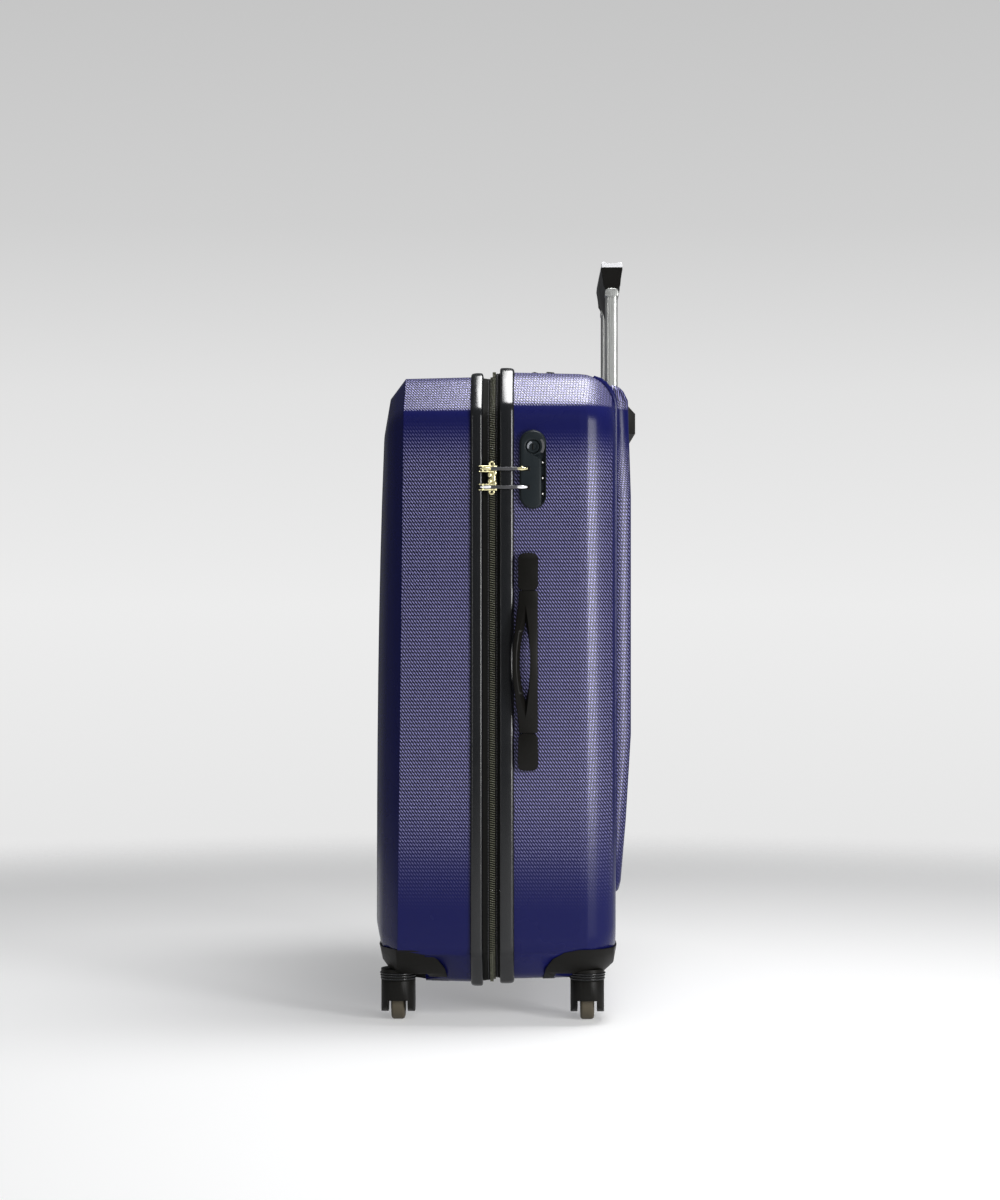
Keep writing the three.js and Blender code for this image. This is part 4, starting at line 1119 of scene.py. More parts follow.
class SUITCASE_OT_lock(bpy.types.Operator):
    """Make the combination lock with its dials and key cylinder"""

    bl_idname = "suitcase.lock"
    bl_label = "Lock"

    def execute(self, context):
        low, high = box_mm("lock_housing")
        middle, half = (low + high) / 2, (high - low) / 2
        key, key_half = span("lock_key_cylinder")
        face, wall = low.y, -CASE_SIDE
        radius = half.x - 0.5
        left, right = middle.x - half.x, middle.x + half.x
        top, foot = high.z - radius, low.z + radius

        # base plate with the dial channel's outer lip
        def stadium(inset, y):
            r = radius - inset
            outlined = arc(middle.x, top, r, 0, 180, 18)
            outlined += arc(middle.x, foot, r, 180, 360, 18)
            return [(x, y, z) for x, z in outlined]

        bm = bmesh.new()
        skin(bm, [new_loop(bm, stadium(i, y)) for i, y in (
            (-0.4, wall - 0.2), (-0.4, face + 2.4), (-0.1, face + 1.9), (0.5, face + 1.9),
            (0.8, face + 2.4), (0.9, face + 6.4))])
        cap(bm, [e for e in bm.edges if e.is_boundary and abs(
            e.verts[0].co.y - place(0, face + 6.4, 0).y) < 1e-6])
        piece("lock_base_plate", bm, "root", "lock", sharp=40)

        # raised body, stepped in beside the dials
        step = right - 5.3
        shoulder = key.z - 10.0

        def body(inset, y):
            r = radius - inset
            drop = math.degrees(math.asin(min((top - shoulder) / r, 1.0)))
            outlined = arc(middle.x, top, r, -drop, 180, 24)
            outlined += arc(middle.x, foot, r, 180, 284, 14)
            outlined += [(step - inset, foot - radius * 0.78 + inset), (step - inset, shoulder - 4)]
            return [(x, y, z) for x, z in outlined]

        def hole(r, y):
            return [(x, y, z) for x, z in arc(key.x, key.z, r, 0, 360 - 12, 29)]

        bm = bmesh.new()
        sides = [new_loop(bm, body(i, y)) for i, y in (
            (0.4, wall - 0.3), (0.4, face + 2.2), (0.7, face + 1.2), (1.4, face + 0.4),
            (2.4, face + 0.05))]
        skin(bm, sides)
        bores = [new_loop(bm, hole(r, y)) for r, y in (
            (key_half.x + 2.6, face + 0.05), (key_half.x + 1.7, face + 0.35),
            (key_half.x + 1.0, face + 1.0), (key_half.x + 0.6, face + 2.4),
            (key_half.x + 0.5, face + 8.0))]
        skin(bm, bores)
        bmesh.ops.triangle_fill(bm, use_beauty=True, edges=sides[-1] + bores[0])
        piece("lock_body", bm, "root", "lock", ["lock_housing"], sharp=50)

        # painted highlights: bright crescents on the key recess's upper left and on the shoulder right
        # of it, in place of light catching their edges
        def crescent(name, outer_radius, inner_radius, shift, start, end, y, finish):
            outlined = arc(key.x, key.z, outer_radius, start, end, 14)
            inside = arc(key.x + shift[0], key.z + shift[1], inner_radius, start, end, 14)
            bm = bmesh.new()
            extruded(bm, [(u, y, z) for u, z in outlined + inside[::-1]], (0, 0.8, 0))
            piece(name, bm, "root", finish, sharp=40)

        crescent("lock_key_glint", 6.6, 5.4, (0.9, -0.7), 108, 196, key.y - key_half.y - 0.25,
                 "satin")
        crescent("lock_shoulder", radius - 1.5, radius - 3.0, (-1.3, 0.6), -34, 38,
                 face - 0.12, "shoulder painted highlight")

        # painted shade: flat dark patches that stand in for the shade in the notches that take the pull
        # tips
        for name, node in (("upper", "zipper_pull_upper"), ("lower", "zipper_pull_lower")):
            pull, _ = span(node)
            bm = bmesh.new()
            rounded_block(bm, (left + 1.5, face - 0.12, pull.z - 2.6),
                          (left + 12.5, face + 0.6, pull.z + 2.6), 0.5, 2)
            piece(f"lock_notch_{name}", bm, "root", "dial")

        # key cylinder
        y0 = key.y - key_half.y
        r = key_half.x
        bm = bmesh.new()
        spun(bm, [(0.0, 1.2), (r * 0.52, 1.2), (r * 0.6, 0.5), (r * 0.9, 0.0), (r, 0.5),
                  (r, 2 * key_half.y), (0.0, 2 * key_half.y)], (key.x, y0, key.z), (0, 1, 0), 40)
        piece("lock_key_face", bm, "lock_key", "lock", ["lock_key_cylinder"], sharp=25)
        # painted shade: a flat dark patch stands in for the shade inside the key slot
        bm = bmesh.new()
        rounded_block(bm, (key.x - 0.9, y0 + 0.95, key.z - r * 0.48),
                      (key.x + 0.9, y0 + 1.6, key.z + r * 0.48), 0.3, 2)
        piece("lock_key_slot", bm, "lock_key", "dial")

        # dials with finger ribs and one white mark each
        for i in (1, 2, 3):
            node = f"lock_dial_{i}"
            dial, reach = span(node)
            bm = bmesh.new()
            teeth = 20
            outlined = []
            for k in range(teeth):
                for share, r in ((0.0, 1.0), (0.32, 1.0), (0.5, 0.94), (0.82, 0.94)):
                    angle = 2 * math.pi * (k + share) / teeth
                    outlined.append((dial.x + reach.x * r * math.cos(angle),
                                     dial.y + reach.y * r * math.sin(angle),
                                     dial.z - reach.z))
            extruded(bm, outlined, (0, 0, 2 * reach.z))
            bevel(bm, [e for e in angled_edges(bm, 80) if abs(
                e.verts[0].co.z - e.verts[1].co.z) < 1e-6], 0.4, 2)
            piece(f"lock_dial_wheel_{i}", bm, node, "dial", [node], sharp=30)
            bm = bmesh.new()
            for k in range(10):
                angle = 2 * math.pi * k / 10 - math.pi / 2 + math.radians(45)
                spot = (dial.x + (reach.x + 0.02) * math.cos(angle),
                        dial.y + (reach.x + 0.02) * math.sin(angle), dial.z)
                bmesh.ops.create_icosphere(
                    bm, subdivisions=2, radius=1.15 * MM,
                    matrix=Matrix.Translation(place(*spot))
                    @ Matrix.Rotation(angle, 4, "Z") @ Matrix.Diagonal((0.22, 1, 1, 1)))
            piece(f"lock_dial_marks_{i}", bm, node, "mark", sharp=80)
        return {"FINISHED"}


def needle(bm, start, end, width, height, tip=0.25):
    """A flat bar that is widest in the middle and pointed at its ends."""
    start, end = Vector(start), Vector(end)
    loops = []
    for i in range(9):
        share = i / 8
        swell = tip + (1 - tip) * math.sin(math.pi * share) ** 0.7
        spot = start.lerp(end, share)
        loops.append(new_loop(bm, [
            (spot.x, spot.y + height / 2 * swell * math.sin(a),
             spot.z + width / 2 * swell * math.cos(a))
            for a in [2 * math.pi * k / 10 for k in range(10)]
        ]))
    skin(bm, loops)
    cap(bm, loops[0])
    cap(bm, loops[-1])


class SUITCASE_OT_pulls(bpy.types.Operator):
    """Make the two zipper sliders and their pulls"""

    bl_idname = "suitcase.pulls"
    bl_label = "Zipper sliders and pulls"

    def execute(self, context):
        for name, toward in (("upper", -1), ("lower", 1)):
            low, high = box_mm(f"zipper_slider_{name}")
            pull_low, pull_high = box_mm(f"zipper_pull_{name}")
            z = (pull_low.z + pull_high.z) / 2
            skin_y = -CASE_SIDE
            bm = bmesh.new()
            body_low, body_high = (z - 9.2, z + 3.8) if toward < 0 else (z - 3.8, z + 9.2)
            # lower wing plate, tapered towards the closed zipper
            verts = block(bm, (-5.6, skin_y - 2.2, body_low), (5.6, skin_y - 0.5, body_high))
            narrow = body_low if toward < 0 else body_high
            for vert in verts:
                if abs(vert.co.z - narrow * MM) < 1e-6:
                    vert.co.x = ORIGIN.x + (vert.co.x - ORIGIN.x) * 0.62
            bevel(bm, edges_of(verts), 0.8, 3)
            # domed upper plate
            verts = block(bm, (-4.8, skin_y - 4.6, body_low + 0.8),
                          (4.8, skin_y - 2.9, body_high - 0.8))
            for vert in verts:
                if abs(vert.co.z - narrow * MM) < 1.5 * MM:
                    vert.co.x = ORIGIN.x + (vert.co.x - ORIGIN.x) * 0.55
            bevel(bm, edges_of(verts), 1.1, 4)
            rounded_block(bm, (-1.2, skin_y - 3.4, (body_low + body_high) / 2 - 2),
                          (1.2, skin_y - 1.8, (body_low + body_high) / 2 + 2), 0.4, 2)
            # bridge that holds the pull
            pin_x = (low.x + 3.5)
            pin_y = low.y + 1.2
            for side in (-1, 1):
                needle(bm, (pin_x - 4.5, pin_y + 0.6, z + side * 3.0),
                       (2.5, skin_y - 5.2, z + side * 3.0), 1.8, 2.2, 0.5)
            rod(bm, (pin_x, pin_y, z - 3.4), (pin_x, pin_y, z + 3.4), 0.85, 14)
            ring_z = z + (-toward) * 5.0
            ring_bar(bm, (-0.8, skin_y - 5.6, ring_z - toward * 0.4), (0, 1, 0), 2.6, 1.05)
            for dx, dz, r in ((2.4, 1.5, 2.6), (-3.0, 4.2, 2.4), (1.2, 6.4, 2.8)):
                spot = place(dx, skin_y - 4.9, z + toward * (2.6 + dz))
                bmesh.ops.create_icosphere(
                    bm, subdivisions=3, radius=r * MM,
                    matrix=Matrix.Translation(spot) @ Matrix.Diagonal((1, 0.6, 1.25, 1)))
            piece(f"slider_body_{name}", bm, f"zipper_slider_{name}", "gold",
                  [f"zipper_slider_{name}"], sharp=45)

            y = (pull_low.y + pull_high.y) / 2
            arm_y = pull_low.y + 1.5
            bm = bmesh.new()
            needle(bm, (pull_low.x - 0.2, arm_y, z), (pull_low.x + 14.5, arm_y, z), 3.4, 3.2)
            needle(bm, (pull_high.x - 14, arm_y, z + 0.2), (pull_high.x, arm_y, z), 4.0, 2.6)
            # the lower pull's chrome carries a painted white reflection
            piece(f"pull_ends_{name}", bm, f"zipper_pull_{name}",
                  "gold" if name == "upper" else "chrome",
                  [f"zipper_pull_{name}"], sharp=60)
            bm = bmesh.new()
            verts = block(bm, (pull_low.x + 12.0, arm_y - 1.4, z - 1.9),
                          (pull_high.x - 11.5, arm_y + 1.15, z + 1.9))
            bevel(bm, edges_of(verts), 0.7, 3)
            piece(f"pull_bar_{name}", bm, f"zipper_pull_{name}", "gunmetal")
            if name == "upper":
                bm = bmesh.new()
                bmesh.ops.create_icosphere(bm, subdivisions=3, radius=1.2 * MM,
                                           matrix=Matrix.Translation(
                                               place(pull_high.x - 6.5, arm_y, z + 2.2)))
                piece("pull_bead_upper", bm, "zipper_pull_upper", "gold", sharp=80)
        return {"FINISHED"}


# ---------------------------------------------------------------- handles


def handle_grip(node, body, top):
    """A bowed grip with a pointed finger opening in a sloping recess, and its two tongues."""
    low, high = box_mm(node)
    centre = (low + high) / 2
    cx = high.x - 11.5
    tongue = 26.0
    if top:
        half = (high.y - low.y) / 2 - tongue
        crest = high.z - REAR.top
        proud = 0.62 * (box_mm("top_handle_mount_near")[1].z - REAR.top)
    else:
        half = (high.z - low.z) / 2 - tongue
        crest = -CASE_SIDE - low.y
        proud = -CASE_SIDE - box_mm("side_handle_mount_upper")[0].y

    def at(u, out, along):
        if top:
            return (cx + u, centre.y + along, REAR.top + out)
        return (cx + u, -CASE_SIDE - out, centre.z + along)

    def swell(along, power):
        return ((1 + math.cos(math.pi * min(abs(along) / half, 1))) / 2) ** power

    def outer(along):
        return proud + (crest - proud) * swell(along, 0.7)

    def under(along):
        return 1.3 + (crest - 9 - 1.3) * swell(along, 0.85)

    def lens(along, length, left, right, middle):
        share = max(1 - (along / length) ** 2, 0.0)
        return middle - left * share, middle + right * share

    stations = sorted({*(half * (k / 24 - 1) for k in range(49)), -64, -45, 45, 64})
    wide = [v for v in stations if abs(v) <= 64]
    narrow = [v for v in stations if abs(v) <= 45]
    bm = bmesh.new()

    def strip(spots, first, second):
        skin(bm, [new_loop(bm, [at(*p(v), v) for v in spots], closed=False)
                  for p in (first, second)])

    def left(v):
        return (-10.5 - 7.4 * swell(v, 0.8), outer(v) - 1.2)

    def right(v):
        return (11.2, outer(v) - 0.8)

    def groove(v):
        return outer(v) - 5.0 * min(1.0, (64 - abs(v)) / 19)

    front = [lambda v, k=k: (lens(v, 64, 10.6, 5.2, -2.7)[k], outer(v)) for k in (0, 1)]
    floor = [lambda v, k=k: (lens(v, 45, 6.4, 5.4, -3.0)[k], groove(v)) for k in (0, 1)]
    back = [lambda v, k=k: (lens(v, 45, 6.4, 5.4, -3.0)[k], under(v)) for k in (0, 1)]
    strip(stations, left, front[0])
    strip(stations, front[1], right)
    for k in (0, 1):
        strip(wide, front[k], floor[k])
        strip(narrow, floor[k], back[k])
    strip(stations, lambda v: (left(v)[0], under(v)), back[0])
    strip(stations, back[1], lambda v: (right(v)[0], under(v)))
    strip(stations, left, lambda v: (left(v)[0], under(v)))
    strip(stations, right, lambda v: (right(v)[0], under(v)))
    bmesh.ops.remove_doubles(bm, verts=bm.verts[:], dist=2e-5)
    bmesh.ops.holes_fill(bm, edges=[e for e in bm.edges if e.is_boundary], sides=0)
    bmesh.ops.recalc_face_normals(bm, faces=bm.faces[:])
    bevel(bm, [e for e in angled_edges(bm, 55) if all(
        abs(v.co.x - place(cx + 11.2, 0, 0).x) < 1e-5 or v.co.x < place(cx - 10, 0, 0).x
        for v in e.verts)], 1.3, 3)
    thin, thick = (0.9, 1.3) if top else (1.4, 3.4)
    for end in (-1, 1):
        loops = [new_loop(bm, [at(u, out, end * v) for u, out in (
            (-7.4, thin), (7.4, thin), (7.4, thick), (-7.4, thick))])
            for v in (half - 3, half + tongue - 0.5)]
        skin(bm, loops)
        for loop in loops:
            cap(bm, loop)
    piece(f"{node}_band", bm, body, "grip", [node], sharp=32)


class SUITCASE_OT_handles(bpy.types.Operator):
    """Make the side handle and the top handle with their mounts"""

    bl_idname = "suitcase.handles"
    bl_label = "Carrying handles"

    def execute(self, context):
        for node in ("side_handle_mount_upper", "side_handle_mount_lower"):
            softened(node, f"{node}_cap", "grip", "root", 1.1, 3, 30)
        for node in ("top_handle_mount_far", "top_handle_mount_near"):
            bm = copied(node)
            bevel(bm, angled_edges(bm, 30), 1.1, 3)
            level = place(0, 0, REAR.top).z
            for vert in bm.verts:
                if vert.co.z > level:
                    vert.co.z = level + (vert.co.z - level) * 0.62
            piece(f"{node}_cap", bm, "root", "grip", [node])
        handle_grip("side_handle_grip", "side_handle", False)
        handle_grip("top_handle_grip", "top_handle", True)
        return {"FINISHED"}


# ---------------------------------------------------------------- trolley


class SUITCASE_OT_trolley(bpy.types.Operator):
    """Make the trolley grip, its bright cap, the cup, the button and the foot"""

    bl_idname = "suitcase.trolley"
    bl_label = "Trolley"

    def execute(self, context):
        middle, half = span("trolley_grip")
        tube, tube_half = span("trolley_inner_tube_near")
        x = tube.x
        top = middle.z + half.z
        length = half.y
        height = 28.0
        foot = top - height
        belly = 2 * half.z - height
        stations = 40

        def section(y):
            bow = (1 + math.cos(math.pi * min(abs(y) / (abs(tube.y) - 16), 1))) / 2
            low = foot - belly * bow
            foot_half = 8.5 + (4.5 - 8.5) * bow
            waist_half = 10.9 + 2.1 * bow
            waist = top - height / 2
            return [
                (-12.7, top), (-12.9, top - 2), (-(12.7 + waist_half) / 2, top - 8),
                (-waist_half, waist), (-(waist_half + foot_half) / 2 - 0.6, (waist + low) / 2),
                (-foot_half, low + 4), (-foot_half + 1.2, low + 1), (-foot_half + 3.4, low),
                (foot_half - 3.4, low), (foot_half - 1.2, low + 1), (foot_half, low + 4),
                ((waist_half + foot_half) / 2 + 0.6, (waist + low) / 2), (waist_half, waist),
                ((12.7 + waist_half) / 2, top - 8), (12.9, top - 2), (12.7, top),
            ]

        bm = bmesh.new()
        loops = []
        for i in range(stations + 1):
            y = -length + 2 * length * i / stations
            end = min(i, stations - i)
            squeeze = 0.965 if end == 0 else 1.0
            if end == 1:
                y = math.copysign(length - 1.2, y)
            mid = top - 14
            loops.append(new_loop(bm, [
                (x + u * squeeze, middle.y + y, mid + (z - mid) * squeeze)
                for u, z in section(y)]))
        skin(bm, loops)
        cap(bm, loops[0])
        cap(bm, loops[-1])
        piece("trolley_grip_body", bm, "trolley_inner", "grip",
              ["trolley_grip"], sharp=50)

        cap_low, cap_high = box_mm("trolley_grip_cap")
        bm = bmesh.new()
        w = (cap_high.x - cap_low.x) / 2
        button_low, button_high = box_mm("trolley_button")
        profile = [(-w, cap_low.z), (w, cap_low.z), (w - 0.3, cap_high.z - 2.4),
                   (w - 1.2, cap_high.z - 0.8), (w - 2.6, cap_high.z), (w - 4.4, cap_high.z - 0.5),
                   (w - 6.5, cap_high.z - 1.6), (0, cap_high.z - 2.1),
                   (6.5 - w, cap_high.z - 1.6), (4.4 - w, cap_high.z - 0.5),
                   (2.6 - w, cap_high.z), (1.2 - w, cap_high.z - 0.8), (0.3 - w, cap_high.z - 2.4)]
        loops = []
        for y, squeeze in ((cap_low.y, 0.94), (cap_low.y + 1.0, 1.0), (cap_high.y - 1.0, 1.0),
                           (cap_high.y, 0.94)):
            loops.append(new_loop(bm, [
                (x + u * squeeze, y, cap_low.z + (z - cap_low.z) * squeeze) for u, z in profile]))
        skin(bm, loops)
        cap(bm, loops[0])
        cap(bm, loops[-1])
        # painted reflection: the chrome cap's near-white colour stands in for its reflection
        piece("trolley_cap_bar", bm, "trolley_inner", "chrome",
              ["trolley_grip_cap"], sharp=50)

        bm = bmesh.new()
        rounded_block(bm, (button_low.x, button_low.y, button_low.z),
                      (button_high.x, button_high.y, button_high.z), 1.8, 4)
        piece("trolley_button_key", bm, "trolley_button", "moulded",
              ["trolley_button"], sharp=60)

        # arched silver ferrules where the tubes enter the grip
        for name in ("near", "far"):
            spot, reach = span(f"trolley_inner_tube_{name}")
            end = -1 if name == "near" else 1
            outer = end * length + middle.y
            w = reach.x + 0.4
            arch = [(x - w, foot - 6), (x + w, foot - 6), (x + w, foot - 0.5)]
            arch += [(x + w * math.cos(a), foot + 3.4 * math.sin(a))
                     for a in [math.radians(15 * k) for k in range(1, 12)]]
            arch += [(x - w, foot - 0.5)]
            bm = bmesh.new()
            extruded(bm, [(u, outer + end * 0.4, z) for u, z in arch],
                     (0, -end * 28.0, 0))
            bevel(bm, [e for e in angled_edges(bm, 60)], 0.7, 3)
            piece(f"trolley_ferrule_{name}", bm, "trolley_inner", "aluminium",
                  sharp=45)
        softened("trolley_cup", "trolley_cup_lip", "moulded", "root", 0.9, 3, 32)
        softened("trolley_foot", "trolley_foot_block", "moulded", "root", 1.2)
        return {"FINISHED"}


# ---------------------------------------------------------------- casters


class SUITCASE_OT_casters(bpy.types.Operator):
    """Make the wheel housings, forks and wheels"""

    bl_idname = "suitcase.casters"
    bl_label = "Casters"

    def execute(self, context):
        rounding = context.scene.suitcase_detail.tyre_round / MM
        for half in (REAR, FRONT):
            for name in ("near", "far"):
                node = f"{half.name}_wheel_housing_{name}"
                bm = copied(node)
                curve = [e for e in angled_edges(bm, 8, 32)
                         if abs(e.verts[0].co.y - e.verts[1].co.y) > 30 * MM]
                bevel(bm, curve, 4.5, 3)
                bevel(bm, angled_edges(bm, 36), 1.0, 3)
                piece(f"{half.name}_housing_{name}", bm, half.body, "moulded",
                      [node])
                fork_low, fork_high = box_mm(f"{half.name}_fork_{name}")
                axle = span(f"{half.name}_axle_{name}")[0]
                pivot = (axle.x, (207 if name == "far" else -207))
                bm = bmesh.new()
                for height, swell in ((50.2, 0.2), (53.4, 0.5), (56.2, 0.9)):
                    ring_bar(bm, (*pivot, height), (0, 0, 1), 19.6 + swell, 0.9, 44, 8)
                piece(f"{half.name}_neck_rings_{name}", bm, half.body, "trim",
                      sharp=80)
                softened(f"{half.name}_fork_{name}", f"{half.name}_caster_fork_{name}",
                         "moulded", f"{half.name}_caster_{name}", 0.8, 2, 34)
                node = f"{half.name}_wheel_{name}"
                body = node
                centre, reach = span(node)
                r, w = reach.z, reach.x
                bm = bmesh.new()
                tyre = [(r * 0.74, -w + 0.6)]
                tyre += [(r - rounding + rounding * math.sin(a), -w + rounding - rounding * math.cos(a))
                         for a in [math.radians(15 * k) for k in range(7)]]
                tyre += [(r, 0.0)]
                tyre += [(r - rounding + rounding * math.cos(a), w - rounding + rounding * math.sin(a))
                         for a in [math.radians(15 * k) for k in range(7)]]
                tyre += [(r * 0.74, w - 0.6), (r * 0.74, -w + 0.6)]
                spun(bm, tyre, centre, (1, 0, 0), 56)
                piece(f"{node}_tyre", bm, body, "tyre", [node], sharp=50)
                bm = bmesh.new()
                hub = [(3.2, -w), (r * 0.3, -w), (r * 0.36, -w + 1.4), (r * 0.62, -w + 2.2),
                       (r * 0.68, -w + 0.5), (r * 0.75, -w + 0.3), (r * 0.75, w - 0.3),
                       (r * 0.68, w - 0.5), (r * 0.62, w - 2.2), (r * 0.36, w - 1.4),
                       (r * 0.3, w), (3.2, w), (3.2, -w)]
                spun(bm, hub, centre, (1, 0, 0), 40)
                for k in range(6):
                    angle = math.pi * k / 3
                    for side in (-1, 1):
                        inner = centre + Vector((side * (w - 1.5), math.cos(angle) * r * 0.3,
                                                 math.sin(angle) * r * 0.3))
                        outer = centre + Vector((side * (w - 1.5), math.cos(angle) * r * 0.7,
                                                 math.sin(angle) * r * 0.7))
                        rod(bm, inner, outer, 1.5, 8)
                piece(f"{node}_hub", bm, body, "hub", sharp=40)
        return {"FINISHED"}


# ---------------------------------------------------------------- lining, straps and pocket


def islands(bm):
    """Groups of faces that are joined to each other."""
    left = set(bm.faces)
    while left:
        group, edge = set(), [left.pop()]
        while edge:
            face = edge.pop()
            group.add(face)
            for e in face.edges:
                for other in e.link_faces:
                    if other in left:
                        left.discard(other)
                        edge.append(other)
        yield group


def inner_cloth(node, step):
    """The side of a lining that faces the inside of the case, cut into small faces."""
    bm = bmesh.new()
    bm.from_mesh(frame["nodes"][node].data)
    bmesh.ops.remove_doubles(bm, verts=bm.verts[:], dist=2e-6)
    mouth = min(abs(v.co.x - ORIGIN.x) for v in bm.verts)
    rim = [f for f in bm.faces if all(
        abs(abs(v.co.x - ORIGIN.x) - mouth) < 0.05 * MM for v in f.verts)]
    bmesh.ops.delete(bm, geom=rim, context="FACES")
    groups = sorted(islands(bm), key=lambda g: max(v.co.z for f in g for v in f.verts))
    bmesh.ops.delete(bm, geom=[f for g in groups[1:] for f in g], context="FACES")
    for axis in range(3):
        values = [v.co[axis] for v in bm.verts]
        low, reach = min(values), max(values) - min(values)
        count = int(reach / (step * MM))
        for k in range(1, count):
            point, normal = Vector((0, 0, 0)), Vector((0, 0, 0))
            point[axis] = low + (k + 0.013) * reach / count
            normal[axis] = 1.0
            bmesh.ops.bisect_plane(
                bm, geom=bm.verts[:] + bm.edges[:] + bm.faces[:], dist=1e-6,
                plane_co=point, plane_no=normal)
    bmesh.ops.triangulate(bm, faces=[f for f in bm.faces if len(f.verts) > 4])
    return bm, mouth


def ripple(bm, depth, rate, fade=None):
    """Soft uneven folds, in millimetres, along the cloth's own normals."""
    bm.normal_update()
    shifts = []
    for vert in bm.verts:
        spot = vert.co * rate
        wave = noise.noise(spot) + 0.4 * noise.noise(spot * 2.7)
        share = 1.0 if fade is None else fade(vert.co)
        shifts.append(vert.normal * (depth * MM * wave * share))
    for vert, shift in zip(bm.verts, shifts):
        vert.co += shift


def strip_along(bm, start, end, across, width, bow=None):
    """A flat strap between two points, as a grid; bow moves its middle, in millimetres."""
    start, end, across = Vector(start), Vector(end), Vector(across).normalized()
    rows = []
    for k in range(9):
        side = across * (width * (k / 8 - 0.5))
        rows.append(new_loop(bm, [
            start.lerp(end, i / 48) + side
            + Vector((bow or (0, 0, 0))) * math.sin(math.pi * i / 48)
            for i in range(49)
        ], closed=False))
    skin(bm, rows)


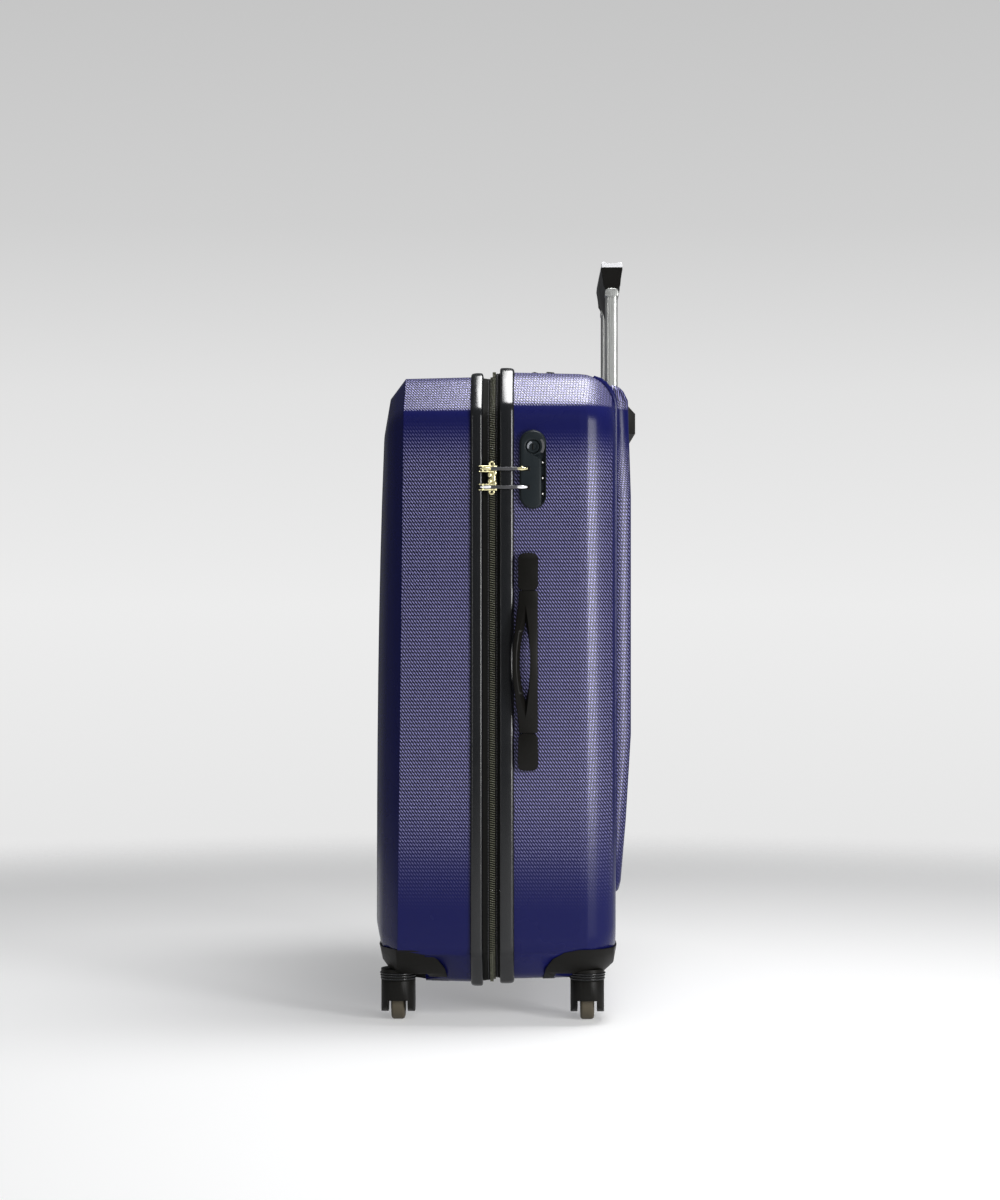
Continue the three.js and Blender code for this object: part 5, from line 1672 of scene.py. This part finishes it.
class SUITCASE_OT_interior(bpy.types.Operator):
    """Make the linings, the packing straps with their buckle, and the lid pocket"""

    bl_idname = "suitcase.interior"
    bl_label = "Interior"

    def execute(self, context):
        sizes = context.scene.suitcase_detail
        # linings, with a bound edge at the mouth
        for half, flat in ((REAR, (0.74, 0.95)), (FRONT, (0.74, 0.94))):
            bm, mouth = inner_cloth(f"{half.name}_lining", 14)
            def fade(co):
                return min(max((abs(co.x - ORIGIN.x) - mouth) / (14 * MM), 0.0), 1.0)

            ripple(bm, sizes.lining_fold / MM, 14.0, fade)
            area = sum(f.calc_area() for f in bm.faces)
            cloth = piece(f"{half.name}_lining_cloth", bm, half.body, "lining",
                          [f"{half.name}_lining"], sharp=75, recalc=False)
            thicken(cloth, 0.6, even=False)
            bm = bmesh.new()
            m = mouth / MM
            sweep_outline(bm, half, [
                (m - 1.5, 7.9), (m - 2.0, 7.2), (m - 1.5, 6.2), (m + 1, 5.9), (m + 6, 5.9),
                (m + 6, 7.9)], ease=18.0)
            edge = piece(f"{half.name}_lining_binding", bm, half.body, "webbing",
                         sharp=60)

        # crossed straps, held by a side-release buckle
        low, high = box_mm("packing_strap")
        x = (low.x + high.x) / 2
        buckle_low, buckle_high = box_mm("strap_buckle")
        inset = 12.0
        for side, name in ((-1, "rising"), (1, "falling")):
            start = Vector((x + 0.9 * side, low.y + inset, low.z + inset
                            if side < 0 else high.z - inset))
            end = Vector((x + 0.9 * side, high.y - inset, high.z - inset
                          if side < 0 else low.z + inset))
            across = (end - start).cross(Vector((1, 0, 0)))
            bm = bmesh.new()
            strip_along(bm, start, end, across, sizes.strap_width / MM, (2.0, 0, 0))
            strap = piece(f"packing_strap_{name}", bm, "root", "webbing",
                          ["packing_strap"] if side < 0 else [], sharp=80)
            thicken(strap, 1.2, even=False)
            bm = bmesh.new()
            along = (end - start).normalized()
            for spot, way in ((start, 1), (end, -1)):
                for k in range(3):
                    near = spot + along * way * (3 + 9 * k)
                    reach = across.normalized() * (sizes.strap_width / MM / 2 - 3)
                    rod(bm, near - reach - Vector((1.0, 0, 0)),
                        near + reach - Vector((1.0, 0, 0)), 0.45, 6)
            seams = piece(f"packing_strap_stitches_{name}", bm, "root", "stitch",
                          sharp=80)

        bm = bmesh.new()
        a, b = buckle_low, buckle_high
        mid = (a + b) / 2
        rounded_block(bm, (a.x + 1, a.y + 4, a.z + 14), (b.x - 0.6, b.y - 4, b.z - 4), 2.6, 4)
        for side in (-1, 1):
            y = mid.y + side * 15.5
            rounded_block(bm, (a.x + 1.8, min(y, y + side * 6), a.z + 18),
                          (b.x - 1.6, max(y, y + side * 6), b.z - 16), 1.6, 3)
        rounded_block(bm, (a.x + 2, mid.y - 15, a.z + 1), (b.x - 1.5, mid.y + 15, a.z + 15),
                      2.2, 4)
        rounded_block(bm, (a.x, mid.y - 9, mid.z - 2), (a.x + 2, mid.y + 9, mid.z + 14), 0.9, 3)
        for k in range(4):
            rounded_block(bm, (a.x + 1.3, mid.y - 12, a.z + 3 + 2.6 * k),
                          (a.x + 2.5, mid.y + 12, a.z + 4.2 + 2.6 * k), 0.4, 2)
        piece("strap_side_release_buckle", bm, "root", "moulded",
              ["strap_buckle"], sharp=50)

        # pocket on the lid lining, gathered at its top by an elastic edge
        low, high = box_mm("lid_pocket")
        bm = bmesh.new()
        rows = []
        count = 44
        for j in range(31):
            v = j / 30
            pull = 0.5 + 0.5 * v
            row = []
            for i in range(count + 1):
                u = i / count
                bulge = math.sin(math.pi * u) ** 0.6 * math.sin(math.pi * (0.08 + 0.86 * v)) ** 0.7
                gather = 0.9 * v ** 3 * math.sin(2 * math.pi * u * 16)
                x = low.x + 0.6 + 5.5 * bulge + gather * min(1, 8 * u, 8 * (1 - u))
                z = low.z + (high.z - low.z) * v - 5 * v * math.sin(math.pi * u) * pull
                row.append((x, low.y + (high.y - low.y) * u, z))
            rows.append(new_loop(bm, row, closed=False))
        skin(bm, rows)
        bmesh.ops.recalc_face_normals(bm, faces=bm.faces[:])
        if sum(f.normal.x * f.calc_area() for f in bm.faces) < 0:
            bmesh.ops.reverse_faces(bm, faces=bm.faces[:])
        pocket = piece("lid_pocket_cloth", bm, "front_case", "net", ["lid_pocket"],
                       sharp=80, recalc=False)
        thicken(pocket, 0.7, even=False)
        bm = bmesh.new()
        frame_points = [(low.y, high.z), (low.y, low.z), (high.y, low.z), (high.y, high.z)]
        for (y0, z0), (y1, z1) in zip(frame_points, frame_points[1:]):
            rounded_block(bm, (low.x - 0.2, min(y0, y1) - 4, min(z0, z1) - 4),
                          (low.x + 1.5, max(y0, y1) + 4, max(z0, z1) + 4), 0.5, 2)
        count = 36
        rows = []
        for i in range(count + 1):
            u = i / count
            x = low.x + 1.6 + 5.5 * math.sin(math.pi * u) ** 0.6 * 0.32
            y = low.y + (high.y - low.y) * u
            z = high.z - 5 * math.sin(math.pi * u)
            rows.append(new_loop(bm, [
                (x + 1.1 * math.cos(a), y, z + 4.0 * math.sin(a))
                for a in [2 * math.pi * k / 10 for k in range(10)]]))
        skin(bm, rows)
        cap(bm, rows[0])
        cap(bm, rows[-1])
        hem = piece("lid_pocket_binding", bm, "front_case", "webbing", sharp=50)
        return {"FINISHED"}


# ---------------------------------------------------------------- carried-over nodes


class SUITCASE_OT_node_finishes(bpy.types.Operator):
    """Give every carried-over node its finish"""

    bl_idname = "suitcase.node_finishes"
    bl_label = "Finishes of carried-over nodes"

    def execute(self, context):
        for name, node in frame["nodes"].items():
            if "tube" in name or "sleeve" in name:
                finish = "aluminium"
            elif "axle" in name or "shaft" in name:
                finish = "steel"
            elif "lining" in name or "pocket" in name:
                finish = "lining"
            elif "strap" in name and "buckle" not in name:
                finish = "webbing"
            else:
                finish = "moulded"
            node.data.materials.clear()
            node.data.materials.append(finishes()[finish])
        return {"FINISHED"}


# ---------------------------------------------------------------- panel and registration

OPERATORS = (
    SUITCASE_OT_stage, SUITCASE_OT_shells, SUITCASE_OT_trims, SUITCASE_OT_zipper,
    SUITCASE_OT_lock, SUITCASE_OT_pulls, SUITCASE_OT_handles, SUITCASE_OT_trolley,
    SUITCASE_OT_casters, SUITCASE_OT_interior, SUITCASE_OT_node_finishes,
)
GROUPS = (SuitcaseShellSizes, SuitcaseDetailSizes, SuitcaseColours, SuitcaseStageSettings)


class VIEW3D_PT_suitcase(bpy.types.Panel):
    """Sizes, colours and the pieces of the suitcase"""

    bl_label = "Suitcase"
    bl_idname = "VIEW3D_PT_suitcase"
    bl_space_type = "VIEW_3D"
    bl_region_type = "UI"
    bl_category = "Suitcase"

    def draw(self, context):
        scene = context.scene
        for group in (scene.suitcase_shell, scene.suitcase_detail, scene.suitcase_colours,
                      scene.suitcase_stage):
            box = self.layout.box()
            for name in group.bl_rna.properties.keys():
                if name not in ("rna_type", "name"):
                    box.prop(group, name)
        for operator in OPERATORS:
            self.layout.operator(operator.bl_idname)


def register():
    for cls in (*GROUPS, *OPERATORS, VIEW3D_PT_suitcase):
        bpy.utils.register_class(cls)
    pointer = bpy.props.PointerProperty
    bpy.types.Scene.suitcase_shell = pointer(type=SuitcaseShellSizes)
    bpy.types.Scene.suitcase_detail = pointer(type=SuitcaseDetailSizes)
    bpy.types.Scene.suitcase_colours = pointer(type=SuitcaseColours)
    bpy.types.Scene.suitcase_stage = pointer(type=SuitcaseStageSettings)


def unregister():
    for name in ("suitcase_stage", "suitcase_colours", "suitcase_detail", "suitcase_shell"):
        delattr(bpy.types.Scene, name)
    for cls in reversed((*GROUPS, *OPERATORS, VIEW3D_PT_suitcase)):
        bpy.utils.unregister_class(cls)


def main():
    register()
    for operator in OPERATORS:
        group, name = operator.bl_idname.split(".")
        getattr(getattr(bpy.ops, group), name)()


if __name__ == "__main__":
    main()
